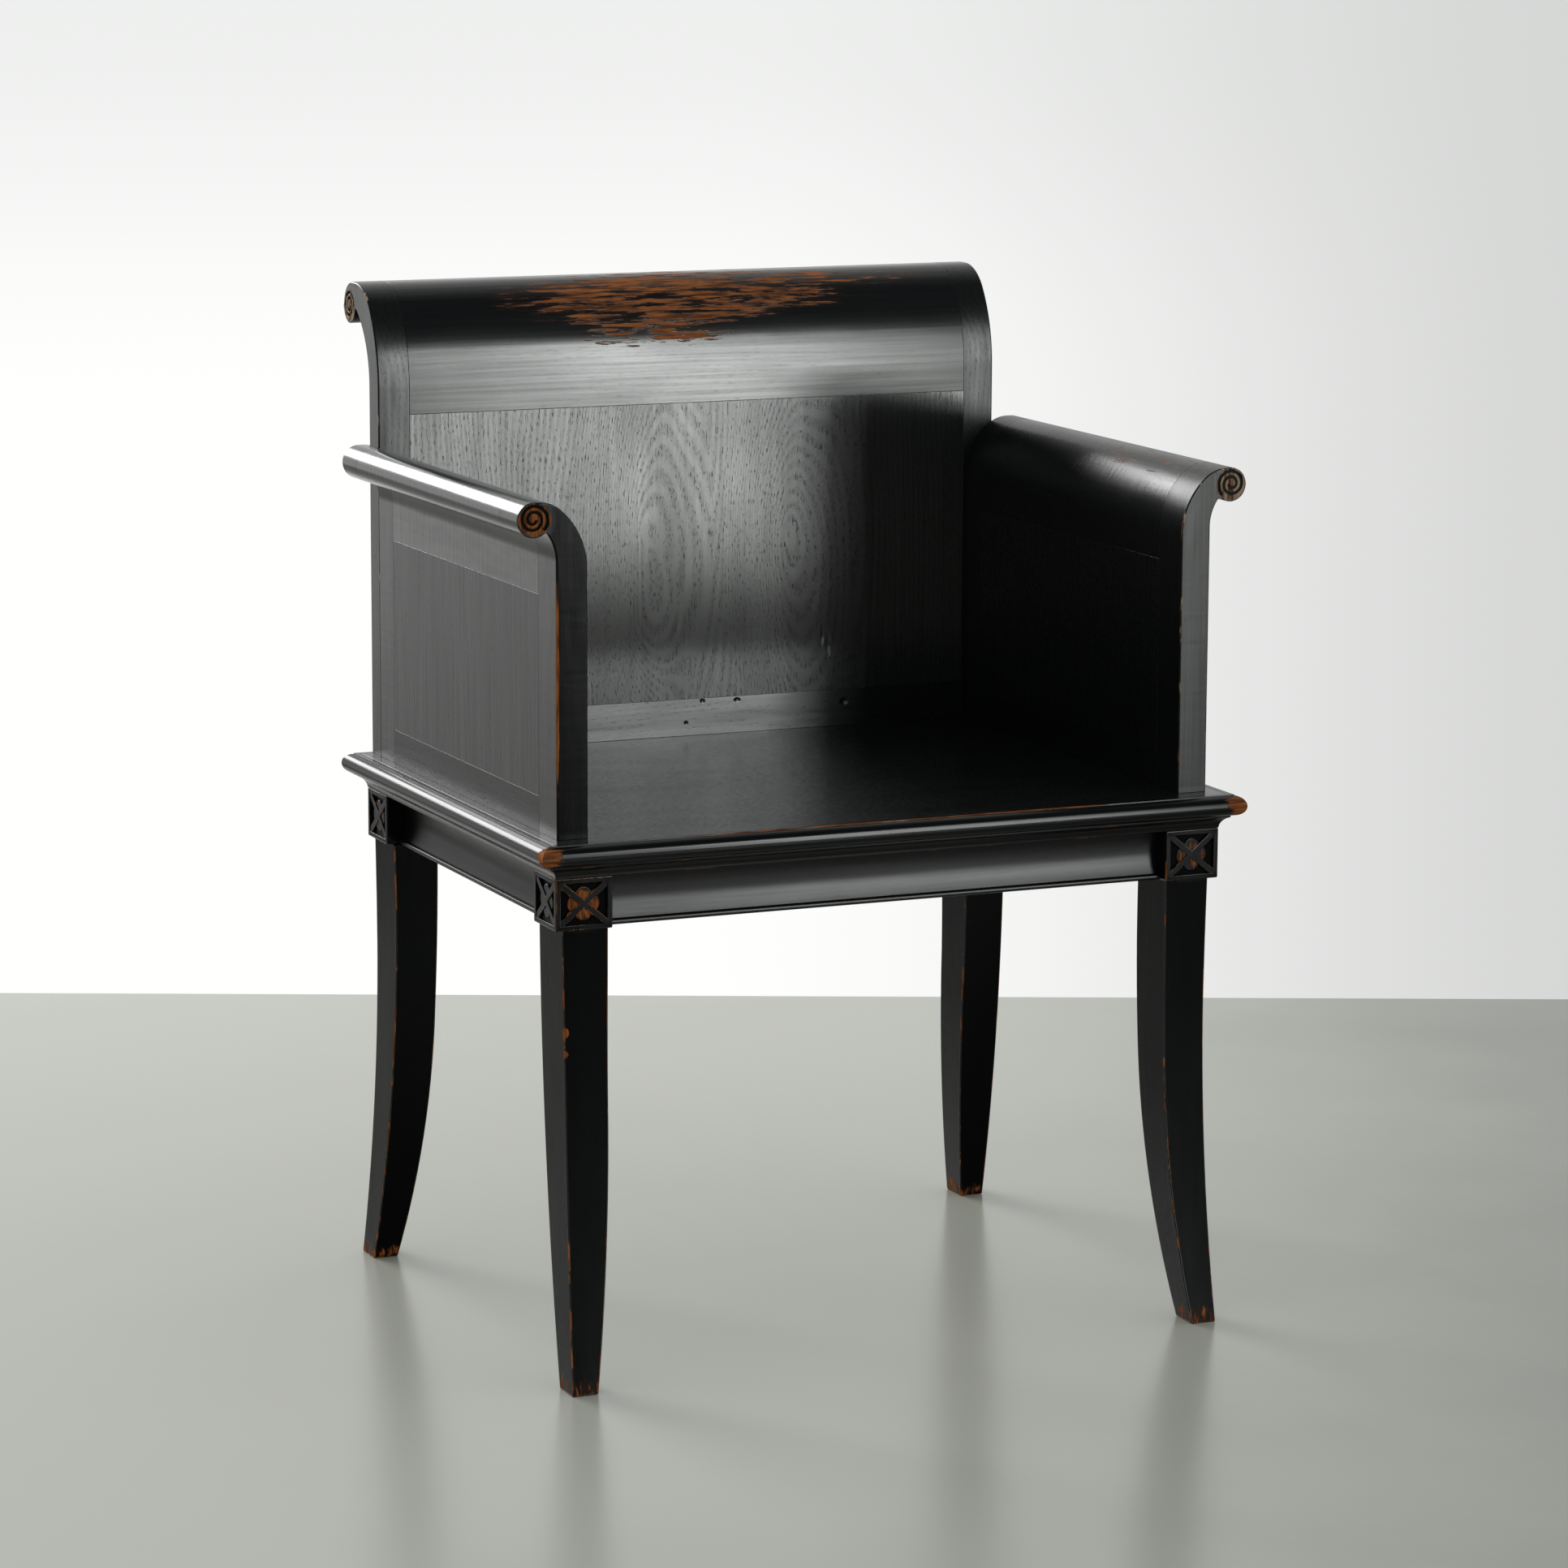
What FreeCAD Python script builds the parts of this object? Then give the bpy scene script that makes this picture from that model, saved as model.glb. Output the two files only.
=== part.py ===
"""Black lacquered scroll-back armchair: sabre legs, mitred seat frame, panelled back and arms.

Millimetres, +Z up, floor at zero, front of the chair towards -Y.
Y is measured from the middle of the seat; each piece's Placement then moves the chair
so that the middle of its overall depth stands on the origin.
"""
import FreeCAD
import Part
import Sketcher
import math
import os
import re

SIZES = {
    # Seat: flat top between the quirks, board let into a moulded frame.
    "seat_height": 460.0,
    "seat_width": 626.0,
    "seat_depth": 479.0,
    "board_thickness": 15.0,
    "frame_lip": 6.0,
    "frame_width": 62.0,
    "frame_height": 29.5,
    "frame_fillet": 2.0,
    "frame_cove_radius": 11.0,
    "nosing_radius": 8.5,
    "nosing_quirk": 1.0,
    "batten_width": 40.0,
    "batten_spacing": 210.0,
    "batten_tenon_length": 12.0,
    "batten_tenon_height": 7.0,
    # Leg heads: square carved blocks under the frame corners.
    "head_size": 50.0,
    "head_height": 43.7,
    "head_inset": 9.5,
    "head_tenon_size": 18.0,
    "head_tenon_height": 8.0,
    "carving_border": 4.5,
    "carving_depth": 3.0,
    "carving_bar_width": 4.0,
    "carving_bar_height": 2.4,
    "carving_lobe_radius": 7.5,
    "carving_lobe_offset": 6.5,
    "carving_lobe_height": 1.4,
    # Leg shanks: straight above, swept out below, tapering to the foot; the rear pair spreads more.
    "front_side_inset": 7.0,
    "rear_side_inset": 5.5,
    "front_face_inset": 5.0,
    "rear_face_inset": 2.5,
    "shank_width": 41.0,
    "shank_depth": 51.0,
    "shank_bend_height": 305.0,
    "shank_taper_height": 240.0,
    "shank_back_sag": 16.5,
    "shank_side_sag": 3.0,
    "foot_width": 23.0,
    "foot_depth": 30.0,
    "front_foot_splay": 26.0,
    "rear_foot_splay": 29.0,
    "front_foot_spread": 1.5,
    "rear_foot_spread": 5.0,
    # Seat rails.
    "rail_inset": 12.5,
    "rail_thickness": 22.0,
    "rail_bead_radius": 2.5,
    "rail_quirk": 1.5,
    "rail_fillet": 3.0,
    "rail_hollow": 4.0,
    "rail_tenon_length": 20.0,
    "rail_tenon_thickness": 9.0,
    "rail_tenon_shoulder": 5.0,
    "rail_peg_size": 6.0,
    "rail_peg_length": 35.0,
    "rail_peg_setback": 8.0,
    "rail_peg_spacing": 16.0,
    # Arms: outer faces set in from the quirks and flush with the ends of the back.
    "arm_side_inset": 16.0,
    "arm_thickness": 27.0,
    "arm_front_inset": 22.0,
    "arm_roll_centre_rise": 263.0,
    "arm_roll_overhang": 19.0,
    "arm_roll_radius": 14.5,
    "arm_roll_top_radius": 14.5,
    "arm_flat": 4.0,
    "arm_shoulder_radius": 30.0,
    "arm_curve_rise": 222.0,
    "arm_neck_rise": 228.0,
    "arm_rail_rise": 197.0,
    "arm_bottom_rail_height": 30.0,
    "arm_front_stile_width": 41.0,
    "arm_rear_stile_width": 36.0,
    # Back: same build as the arms, taller and with a larger roll.
    "back_inset": 4.5,
    "back_thickness": 24.0,
    "back_roll_centre_rise": 391.5,
    "back_roll_overhang": 50.5,
    "back_roll_radius": 15.0,
    "back_roll_top_radius": 22.0,
    "back_flat": 9.0,
    "back_shoulder_radius": 45.0,
    "back_curve_rise": 325.0,
    "back_neck_rise": 325.0,
    "back_rail_rise": 302.0,
    "back_bottom_rail_height": 33.5,
    "back_stile_width": 29.0,
    # Carved spirals on the ends of the rolls: each quarter turn is one step tighter.
    "volute_groove_width": 2.4,
    "volute_groove_depth": 1.6,
    "volute_margin": 3.0,
    "volute_step": 1.2,
    # Joints shared by arms and back.
    "tongue_thickness": 8.0,
    "tongue_depth": 7.0,
    "seat_groove_depth": 5.0,
    "stile_tenon_thickness": 9.0,
    "stile_tenon_shoulder": 8.0,
    "stile_tenon_length": 20.0,
    "stub_tenon_length": 14.0,
    "stub_tenon_height": 18.0,
    "stub_tenon_shoulder": 8.0,
    "roll_pin_size": 8.0,
    "roll_pin_length": 40.0,
    "arm_pin_size": 10.0,
    "arm_pin_length": 40.0,
    "arm_pin_bite": 15.0,
    "arm_pin_low_rise": 60.0,
    "arm_pin_high_rise": 160.0,
    # Room round pins and at the bottom of mortises, and how far cuts run past a face.
    "pin_room": 0.1,
    "joint_room": 0.5,
    "cut_overrun": 5.0,
}
# Where the neck meets the roll, as shares of the roll's radius towards the neck and downwards.
CREVICE_SHARES = {"arm": (0.707, 0.707), "back": (1.0, 0.0)}
VOLUTE_QUARTERS = 8
SIDES = {"left": -1, "right": 1}
ENDS = {"front": -1, "rear": 1}
SIZE_NAME = re.compile(r"[a-z]+(?:_[a-z]+)+")

doc = FreeCAD.newDocument("armchair")
sheet = doc.addObject("Spreadsheet::Sheet", "Sizes")
for row, (name, size) in enumerate(SIZES.items(), start=1):
    sheet.set(f"A{row}", name)
    sheet.set(f"B{row}", str(size))
    sheet.setAlias(f"B{row}", name)
doc.recompute()
pieces = []

# Levels and faces that several pieces share, as expressions of the sheet's sizes.
HEAD_TOP = "(seat_height - frame_height)"
HEAD_BOTTOM = "(seat_height - frame_height - head_height)"
HEAD_MIDDLE = "(seat_height - frame_height - head_height / 2)"
BOARD_BOTTOM = "(seat_height - board_thickness)"
HALF_WIDTH = "(seat_width / 2)"
HALF_DEPTH = "(seat_depth / 2)"
HEAD_X = "(seat_width / 2 - head_inset)"
HEAD_Y = "(seat_depth / 2 - head_inset)"
ARM_X = "(seat_width / 2 - arm_side_inset)"
ARM_MIDDLE = "(seat_width / 2 - arm_side_inset - arm_thickness / 2)"
ARM_FRONT = "(arm_front_inset - seat_depth / 2)"
BACK_REAR = "(seat_depth / 2 - back_inset)"
BACK_FRONT = "(seat_depth / 2 - back_inset - back_thickness)"
BACK_MIDDLE = "(seat_depth / 2 - back_inset - back_thickness / 2)"
FRONT_FOOT_Y = "(seat_depth / 2 - head_inset - front_face_inset + front_foot_splay)"
ROLL_Y = "(seat_depth / 2 - back_inset + back_roll_overhang + back_roll_radius)"
DEPTH_MIDDLE = f"(({ROLL_Y} - {FRONT_FOOT_Y}) / 2)"


def bound(text):
    """Turn size names into references to the sheet."""
    return SIZE_NAME.sub(lambda match: "Sizes." + match.group(0), text)


def value(text):
    """Work out an expression of size names."""
    return float(sheet.evalExpression(bound(text)))


def times(sign, text):
    return f"({sign} * ({text}))"


def middle(low, high):
    return f"(({low} + {high}) / 2)"


def span(low, high):
    return f"({high} - {low})"


def start_piece(label):
    """A body that stands on the middle of the chair's overall depth."""
    body = doc.addObject("PartDesign::Body", label)
    body.Label = label
    body.setExpression(".Placement.Base.y", bound(f"-{DEPTH_MIDDLE}"))
    pieces.append(body)
    return body


def start_sketch(body, name, role, level):
    """Sketch on an origin plane of the body, shifted to level along the plane's own axis."""
    sketch = body.newObject("Sketcher::SketchObject", f"{body.Name}_{name}_sketch")
    plane = [feature for feature in body.Origin.OriginFeatures if feature.Role == role][0]
    sketch.AttachmentSupport = [(plane, "")]
    sketch.MapMode = "FlatFace"
    axis_sign = -1 if role == "XZ_Plane" else 1
    sketch.setExpression(".AttachmentOffset.Base.z", bound(times(axis_sign, level)))
    return sketch


def fix(sketch, kind, geometry, text):
    """Bind one dimension of the sketch to the sheet."""
    index = sketch.addConstraint(Sketcher.Constraint(kind, *geometry, value(text)))
    sketch.setExpression(f"Constraints[{index}]", bound(text))


def arc_edge(start, end, radius, turn):
    """Arc of less than a half circle; turn is 1 for counterclockwise, -1 for clockwise."""
    chord = end - start
    rise = (radius ** 2 - (chord.Length / 2) ** 2) ** 0.5
    normal = FreeCAD.Vector(-chord.y, chord.x, 0).normalize()
    centre = (start + end) / 2 + normal * (rise * turn)
    tips = (start, end) if turn > 0 else (end, start)
    angles = [math.atan2(tip.y - centre.y, tip.x - centre.x) for tip in tips]
    return Part.ArcOfCircle(Part.Circle(centre, FreeCAD.Vector(0, 0, 1), radius), *angles)


def outline(sketch, corners):
    """Closed outline; a corner is (across, up), with (radius, turn) added where an arc leads to it."""
    points = [FreeCAD.Vector(value(corner[0]), value(corner[1]), 0) for corner in corners]
    tips = []
    for index, corner in enumerate(corners):
        if len(corner) == 2:
            sketch.addGeometry(Part.LineSegment(points[index - 1], points[index]))
            tips.append((1, 2))
        else:
            radius, turn = value(corner[2]), corner[3]
            sketch.addGeometry(arc_edge(points[index - 1], points[index], radius, turn))
            tips.append((1, 2) if turn > 0 else (2, 1))
    for index, corner in enumerate(corners):
        before = (index - 1) % len(corners)
        join = (before, tips[before][1], index, tips[index][0])
        sketch.addConstraint(Sketcher.Constraint("Coincident", *join))
        fix(sketch, "DistanceX", (-1, 1, index, tips[index][1]), corner[0])
        fix(sketch, "DistanceY", (-1, 1, index, tips[index][1]), corner[1])
        if len(corner) > 2:
            fix(sketch, "Radius", (index,), corner[2])


def box(low_across, low_up, high_across, high_up):
    return [(low_across, low_up), (high_across, low_up), (high_across, high_up), (low_across, high_up)]


def extrude(kind, body, name, sketch, length):
    """Pad or pocket, half of its length to each side of the sketch."""
    feature = body.newObject(f"PartDesign::{kind}", f"{body.Name}_{name}")
    feature.Profile = sketch
    feature.SideType = "Symmetric"
    feature.setExpression("Length", bound(length))
    return feature


def shape(kind, body, name, role, low, high, corners):
    """Pad or pocket of an outline from low to high along the plane's axis."""
    sketch = start_sketch(body, name, role, middle(low, high))
    outline(sketch, corners)
    return extrude(kind, body, name, sketch, f"abs({span(low, high)})")


def pad(*parts):
    return shape("Pad", *parts)


def pocket(*parts):
    return shape("Pocket", *parts)


def around(level, reach):
    """Low and high ends of a cut that reaches equally to both sides of a face."""
    return f"({level} - ({reach}))", f"({level} + ({reach}))"


def pin_hole(body, name, role, low, high, across, up, pin):
    """Square hole from low to high along the plane's axis, with a little room round the named pin."""
    half = f"{pin}_size / 2 + pin_room"
    low_across, high_across = around(across, half)
    low_up, high_up = around(up, half)
    pocket(body, name, role, low, high, box(low_across, low_up, high_across, high_up))


def tangent_radius(across, along):
    """Radius of the arc that leaves a straight line and is across from it after a run of along."""
    return f"((({across})^2 + ({along})^2) / (2 * ({across})))"


def sag_radius(across, along, sag):
    """Radius of the arc over a chord that stands off the chord by sag."""
    return f"((({across})^2 + ({along})^2) / (8 * ({sag})) + ({sag}) / 2)"


def carve_head(body, name, role, face_sign, face, across_middle):
    """Sunk square with a saltire over a four-lobed flower, on one outer face of a leg head."""
    half_across = "(head_size / 2 - carving_border)"
    half_up = "(head_height / 2 - carving_border)"
    floor = f"({face} - carving_depth)"

    def level(text):
        return times(face_sign, text)

    def corner(across, up):
        return f"({across_middle} + {across})", f"({HEAD_MIDDLE} + {up})"

    low, high = corner(f"-{half_across}", f"-{half_up}"), corner(half_across, half_up)
    pocket(body, f"{name}_field", role, level(floor), level(f"{face} + cut_overrun"), box(*low, *high))
    # The flower is one outline: four arcs that meet on the diagonals of the square.
    lobe, offset = "carving_lobe_radius", "carving_lobe_offset"
    notch = f"(({offset} + sqrt(2 * {lobe}^2 - {offset}^2)) / 2)"
    flower = []
    for across_end, up_end in ((1, -1), (1, 1), (-1, 1), (-1, -1)):
        flower.append((*corner(f"{across_end} * {notch}", f"{up_end} * {notch}"), lobe, 1))
    pad(body, f"{name}_flower", role, level(floor), level(f"({floor} + carving_lobe_height)"), flower)
    bar_top = f"({floor} + carving_bar_height)"
    for lean_name, lean in (("rising", 1), ("falling", -1)):
        bar = []
        for across_end, up_end, across_cut, up_cut in (
                (-1, -1, 0, 0), (-1, -1, 1, 0), (1, 1, 0, -1), (1, 1, 0, 0), (1, 1, -1, 0), (-1, -1, 0, 1)):
            across = f"({across_end} * {half_across} + {across_cut} * carving_bar_width)"
            up = f"({lean} * ({up_end} * {half_up} + {up_cut} * carving_bar_width))"
            bar.append(corner(across, up))
        pad(body, f"{name}_{lean_name}_bar", role, level(floor), level(bar_top), bar)


def make_leg(end, side):
    """Leg with a carved head, stub tenon above, rail mortises inside and a swept, tapered shank."""
    end_sign, side_sign = ENDS[end], SIDES[side]
    body = start_piece(f"leg_{end}_{side}")
    face_top = f"({HEAD_Y} - {end}_face_inset)"
    back_top = f"({face_top} - shank_depth)"
    face_foot = f"({face_top} + {end}_foot_splay)"
    back_foot = f"({face_foot} - foot_depth)"
    outer_top = f"({HEAD_X} - {end}_side_inset)"
    inner_top = f"({outer_top} - shank_width)"
    outer_foot = f"({outer_top} + {end}_foot_spread)"
    inner_foot = f"({outer_foot} - foot_width)"
    inner_bend = f"({inner_top} + {end}_foot_spread * (1 - shank_taper_height / {HEAD_BOTTOM}))"
    face_radius = tangent_radius(f"{end}_foot_splay", "shank_bend_height")
    back_radius = sag_radius(span(back_top, back_foot), HEAD_BOTTOM, "shank_back_sag")
    pad(body, "shank", "YZ_Plane", times(side_sign, inner_top), times(side_sign, outer_foot), [
        (times(end_sign, back_foot), "0", back_radius, end_sign),
        (times(end_sign, face_foot), "0"),
        (times(end_sign, face_top), "shank_bend_height", face_radius, -end_sign),
        (times(end_sign, face_top), HEAD_BOTTOM),
        (times(end_sign, back_top), HEAD_BOTTOM)])
    waste_low = times(end_sign, f"{back_top} - cut_overrun")
    waste_high = times(end_sign, f"{face_foot} + cut_overrun")
    taper_radius = tangent_radius(span(inner_bend, inner_foot), "shank_taper_height")
    waste_x = times(side_sign, f"{inner_top} - cut_overrun")
    pocket(body, "taper", "XZ_Plane", waste_low, waste_high, [
        (times(side_sign, inner_top), HEAD_BOTTOM),
        (times(side_sign, inner_bend), "shank_taper_height"),
        (times(side_sign, inner_foot), "0", taper_radius, side_sign),
        (times(side_sign, inner_foot), "-cut_overrun"),
        (waste_x, "-cut_overrun"),
        (waste_x, HEAD_BOTTOM)])
    side_radius = sag_radius(span(outer_top, outer_foot), HEAD_BOTTOM, "shank_side_sag")
    waste_x = times(side_sign, f"{outer_foot} + cut_overrun")
    pocket(body, "waist", "XZ_Plane", waste_low, waste_high, [
        (times(side_sign, outer_top), HEAD_BOTTOM),
        (times(side_sign, outer_foot), "0", side_radius, side_sign),
        (waste_x, "0"),
        (waste_x, HEAD_BOTTOM)])
    head_x = (times(side_sign, f"{HEAD_X} - head_size"), times(side_sign, HEAD_X))
    head_y = (times(end_sign, f"{HEAD_Y} - head_size"), times(end_sign, HEAD_Y))
    pad(body, "head", "XY_Plane", HEAD_BOTTOM, HEAD_TOP, box(head_x[0], head_y[0], head_x[1], head_y[1]))
    low_x, high_x = around(middle(*head_x), "head_tenon_size / 2")
    low_y, high_y = around(middle(*head_y), "head_tenon_size / 2")
    pad(body, "tenon", "XY_Plane", HEAD_TOP, f"{HEAD_TOP} + head_tenon_height",
        box(low_x, low_y, high_x, high_y))
    mortise_z = (f"({HEAD_BOTTOM} + rail_tenon_shoulder)", f"({HEAD_TOP} - rail_tenon_shoulder)")
    depth = "rail_tenon_length + joint_room"
    for role, inner, line, line_sign, name in (
            ("YZ_Plane", head_x[0], rail_line(HEAD_Y), end_sign, "cross_mortise"),
            ("XZ_Plane", head_y[0], rail_line(HEAD_X), side_sign, "side_mortise")):
        low, high = around(times(line_sign, line), "rail_tenon_thickness / 2")
        pocket(body, name, role, *around(inner, depth), box(low, mortise_z[0], high, mortise_z[1]))
    for role, inner, sign, across, up in peg_holes(end_sign, side_sign):
        reach = "rail_peg_length + joint_room"
        pin_hole(body, "peg_hole", role, *around(times(sign, inner), reach), across, up, "rail_peg")
    carve_head(body, "face", "XZ_Plane", end_sign, HEAD_Y, middle(*head_x))
    carve_head(body, "cheek", "YZ_Plane", side_sign, HEAD_X, middle(*head_y))


def rail_line(head_face):
    """Middle of the thickness of a rail that stands back from the given face of the leg heads."""
    return f"({head_face} - rail_inset - rail_thickness / 2)"


def peg_holes(end_sign, side_sign):
    """Role, inner face of the head, its sign, and the place on it, of the two pegs in one leg head."""
    across_x = times(side_sign, f"{HEAD_X} - head_size + rail_peg_setback")
    across_y = times(end_sign, f"{HEAD_Y} - head_size + rail_peg_setback")
    low, high = around(HEAD_MIDDLE, "rail_peg_spacing / 2")
    return (("XZ_Plane", f"{HEAD_Y} - head_size", end_sign, across_x, high),
            ("YZ_Plane", f"{HEAD_X} - head_size", side_sign, across_y, low))


def make_rail(name):
    """Seat rail with a bead, a hollow face and a fillet, tenoned at both ends into the leg heads."""
    body = start_piece(f"seat_rail_{name}")
    crossways = name in ENDS
    sign = ENDS[name] if crossways else SIDES[name]
    role = "YZ_Plane" if crossways else "XZ_Plane"
    face = f"({HEAD_Y if crossways else HEAD_X} - rail_inset)"
    reach = f"({HEAD_X if crossways else HEAD_Y} - head_size)"
    inner = f"({face} - rail_thickness)"
    quirk = f"({face} - rail_quirk)"
    bead_top = f"({HEAD_BOTTOM} + 2 * rail_bead_radius)"
    fillet_z = f"({HEAD_TOP} - rail_fillet)"
    hollow_radius = sag_radius("0", span(bead_top, fillet_z), "rail_hollow")
    bead = "rail_bead_radius"
    pad(body, "rail", role, f"-{reach}", reach, [
        (times(sign, inner), HEAD_BOTTOM),
        (times(sign, face), HEAD_BOTTOM),
        (times(sign, f"{face} + {bead}"), f"({HEAD_BOTTOM} + {bead})", bead, sign),
        (times(sign, face), bead_top, bead, sign),
        (times(sign, quirk), bead_top),
        (times(sign, quirk), fillet_z, hollow_radius, -sign),
        (times(sign, face), fillet_z),
        (times(sign, face), HEAD_TOP),
        (times(sign, inner), HEAD_TOP)])
    low, high = around(times(sign, f"{face} - rail_thickness / 2"), "rail_tenon_thickness / 2")
    tenon_reach = f"({reach} + rail_tenon_length)"
    pad(body, "tenons", role, f"-{tenon_reach}", tenon_reach,
        box(low, f"{HEAD_BOTTOM} + rail_tenon_shoulder", high, f"{HEAD_TOP} - rail_tenon_shoulder"))
    for other in (-1, 1):
        end_sign, side_sign = (sign, other) if crossways else (other, sign)
        peg_role, _, peg_sign, across, up = peg_holes(end_sign, side_sign)[0 if crossways else 1]
        near, far = times(peg_sign, inner), times(peg_sign, f"{face} - rail_quirk")
        pin_hole(body, "peg_hole", peg_role, near, far, across, up, "rail_peg")


def make_frame_member(name):
    """Mitred seat frame member: bullnose, fillet and cove outside, rebate for the board inside."""
    body = start_piece(f"seat_frame_{name}")
    crossways = name in ENDS
    sign = ENDS[name] if crossways else SIDES[name]
    role = "YZ_Plane" if crossways else "XZ_Plane"
    edge, run = (HALF_DEPTH, HALF_WIDTH) if crossways else (HALF_WIDTH, HALF_DEPTH)
    nose = "nosing_radius"
    nose_top = "(seat_height - nosing_quirk)"
    nose_bottom = f"({nose_top} - 2 * {nose})"

    def out(text):
        return times(sign, f"{edge} + {text}")

    pad(body, "member", role, f"-({run} + {nose})", f"({run} + {nose})", [
        (out("-frame_width"), HEAD_TOP),
        (out("-head_inset"), HEAD_TOP),
        (out("-frame_fillet"), f"({nose_bottom} - frame_fillet)", "frame_cove_radius", -sign),
        (out("-frame_fillet"), nose_bottom),
        (out("0"), nose_bottom),
        (out(nose), f"({nose_top} - {nose})", nose, sign),
        (out("0"), nose_top, nose, sign),
        (out("0"), "seat_height"),
        (out("-frame_lip"), "seat_height"),
        (out("-frame_lip"), BOARD_BOTTOM),
        (out("-frame_width"), BOARD_BOTTOM)])
    deep = "(frame_width + cut_overrun)"
    past = f"({nose} + cut_overrun)"
    for other in (-1, 1):
        end_sign, side_sign = (sign, other) if crossways else (other, sign)

        def place(out_x, out_y):
            return times(side_sign, f"{HALF_WIDTH} + {out_x}"), times(end_sign, f"{HALF_DEPTH} + {out_y}")

        waste = place(past, f"-{deep}") if crossways else place(f"-{deep}", past)
        pocket(body, "mitre", "XY_Plane", f"{HEAD_TOP} - cut_overrun", "seat_height + cut_overrun",
               [place(f"-{deep}", f"-{deep}"), place(past, past), waste])
        low_x, high_x = around(times(side_sign, f"{HEAD_X} - head_size / 2"), "head_tenon_size / 2")
        low_y, high_y = around(times(end_sign, f"{HEAD_Y} - head_size / 2"), "head_tenon_size / 2")
        pocket(body, "leg_mortise", "XY_Plane", *around(HEAD_TOP, "head_tenon_height + joint_room"),
               box(low_x, low_y, high_x, high_y))
        if crossways:
            low, high = around(times(side_sign, "batten_spacing / 2"), "batten_width / 2")
            low_z, high_z = around(middle(HEAD_TOP, BOARD_BOTTOM), "batten_tenon_height / 2")
            inner = times(sign, f"{edge} - frame_width")
            pocket(body, "batten_mortise", "XZ_Plane", *around(inner, "batten_tenon_length + joint_room"),
                   box(low, low_z, high, high_z))
    floor = "(seat_height - stile_tenon_length - joint_room)"
    for members, corners in stile_tenons():
        if name in members:
            pocket(body, "stile_mortise", "XY_Plane", floor, f"{BOARD_BOTTOM} + cut_overrun", corners)


def stile_tenons():
    """Every tenon that goes down through the seat board: the frame members it enters, and its plan."""
    found = []
    for side, sign in SIDES.items():
        low, high = around(times(sign, ARM_MIDDLE), "stile_tenon_thickness / 2")
        for part in ("front", "rear"):
            start, end = arm_stile_span(part)
            members = (part, side) if part == "front" else (side,)
            found.append((members, box(low, f"({start} + stile_tenon_shoulder)",
                                       high, f"({end} - stile_tenon_shoulder)")))
        low, high = around(BACK_MIDDLE, "stile_tenon_thickness / 2")
        inner = times(sign, f"{ARM_X} - back_stile_width + stile_tenon_shoulder")
        outer = times(sign, f"{ARM_X} - stile_tenon_shoulder")
        found.append((("rear",), box(inner, low, outer, high)))
    return found


def arm_stile_span(part):
    """Front and rear faces of an arm's stile along the chair."""
    if part == "front":
        return ARM_FRONT, f"({ARM_FRONT} + arm_front_stile_width)"
    return f"({BACK_FRONT} - arm_rear_stile_width)", BACK_FRONT


def make_seat_board():
    """Board let into the frame, with mortises and grooves for the arms and the back."""
    body = start_piece("seat_board")
    half_x = f"({HALF_WIDTH} - frame_lip)"
    half_y = f"({HALF_DEPTH} - frame_lip)"
    pad(body, "board", "XY_Plane", BOARD_BOTTOM, "seat_height",
        box(f"-{half_x}", f"-{half_y}", half_x, half_y))
    for _, corners in stile_tenons():
        pocket(body, "mortise", "XY_Plane", f"{BOARD_BOTTOM} - cut_overrun", "seat_height + cut_overrun",
               corners)
    grooves = []
    for side, sign in SIDES.items():
        low, high = around(times(sign, ARM_MIDDLE), "tongue_thickness / 2")
        front, rear = arm_stile_span("front")[1], arm_stile_span("rear")[0]
        grooves.append((f"{side}_groove", box(low, front, high, rear)))
    low, high = around(BACK_MIDDLE, "tongue_thickness / 2")
    reach = f"({ARM_X} - back_stile_width)"
    grooves.append(("back_groove", box(f"-{reach}", low, reach, high)))
    for name, corners in grooves:
        pocket(body, name, "XY_Plane", *around("seat_height", "seat_groove_depth + joint_room"), corners)


def make_batten(side):
    """Batten under the seat board, tenoned into the front and rear frame members."""
    body = start_piece(f"seat_batten_{side}")
    low, high = around(times(SIDES[side], "batten_spacing / 2"), "batten_width / 2")
    reach = f"({HALF_DEPTH} - frame_width)"
    pad(body, "batten", "XZ_Plane", f"-{reach}", reach, box(low, HEAD_TOP, high, BOARD_BOTTOM))
    low_z, high_z = around(middle(HEAD_TOP, BOARD_BOTTOM), "batten_tenon_height / 2")
    reach = f"({reach} + batten_tenon_length)"
    pad(body, "tenons", "XZ_Plane", f"-{reach}", reach, box(low, low_z, high, high_z))


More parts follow.
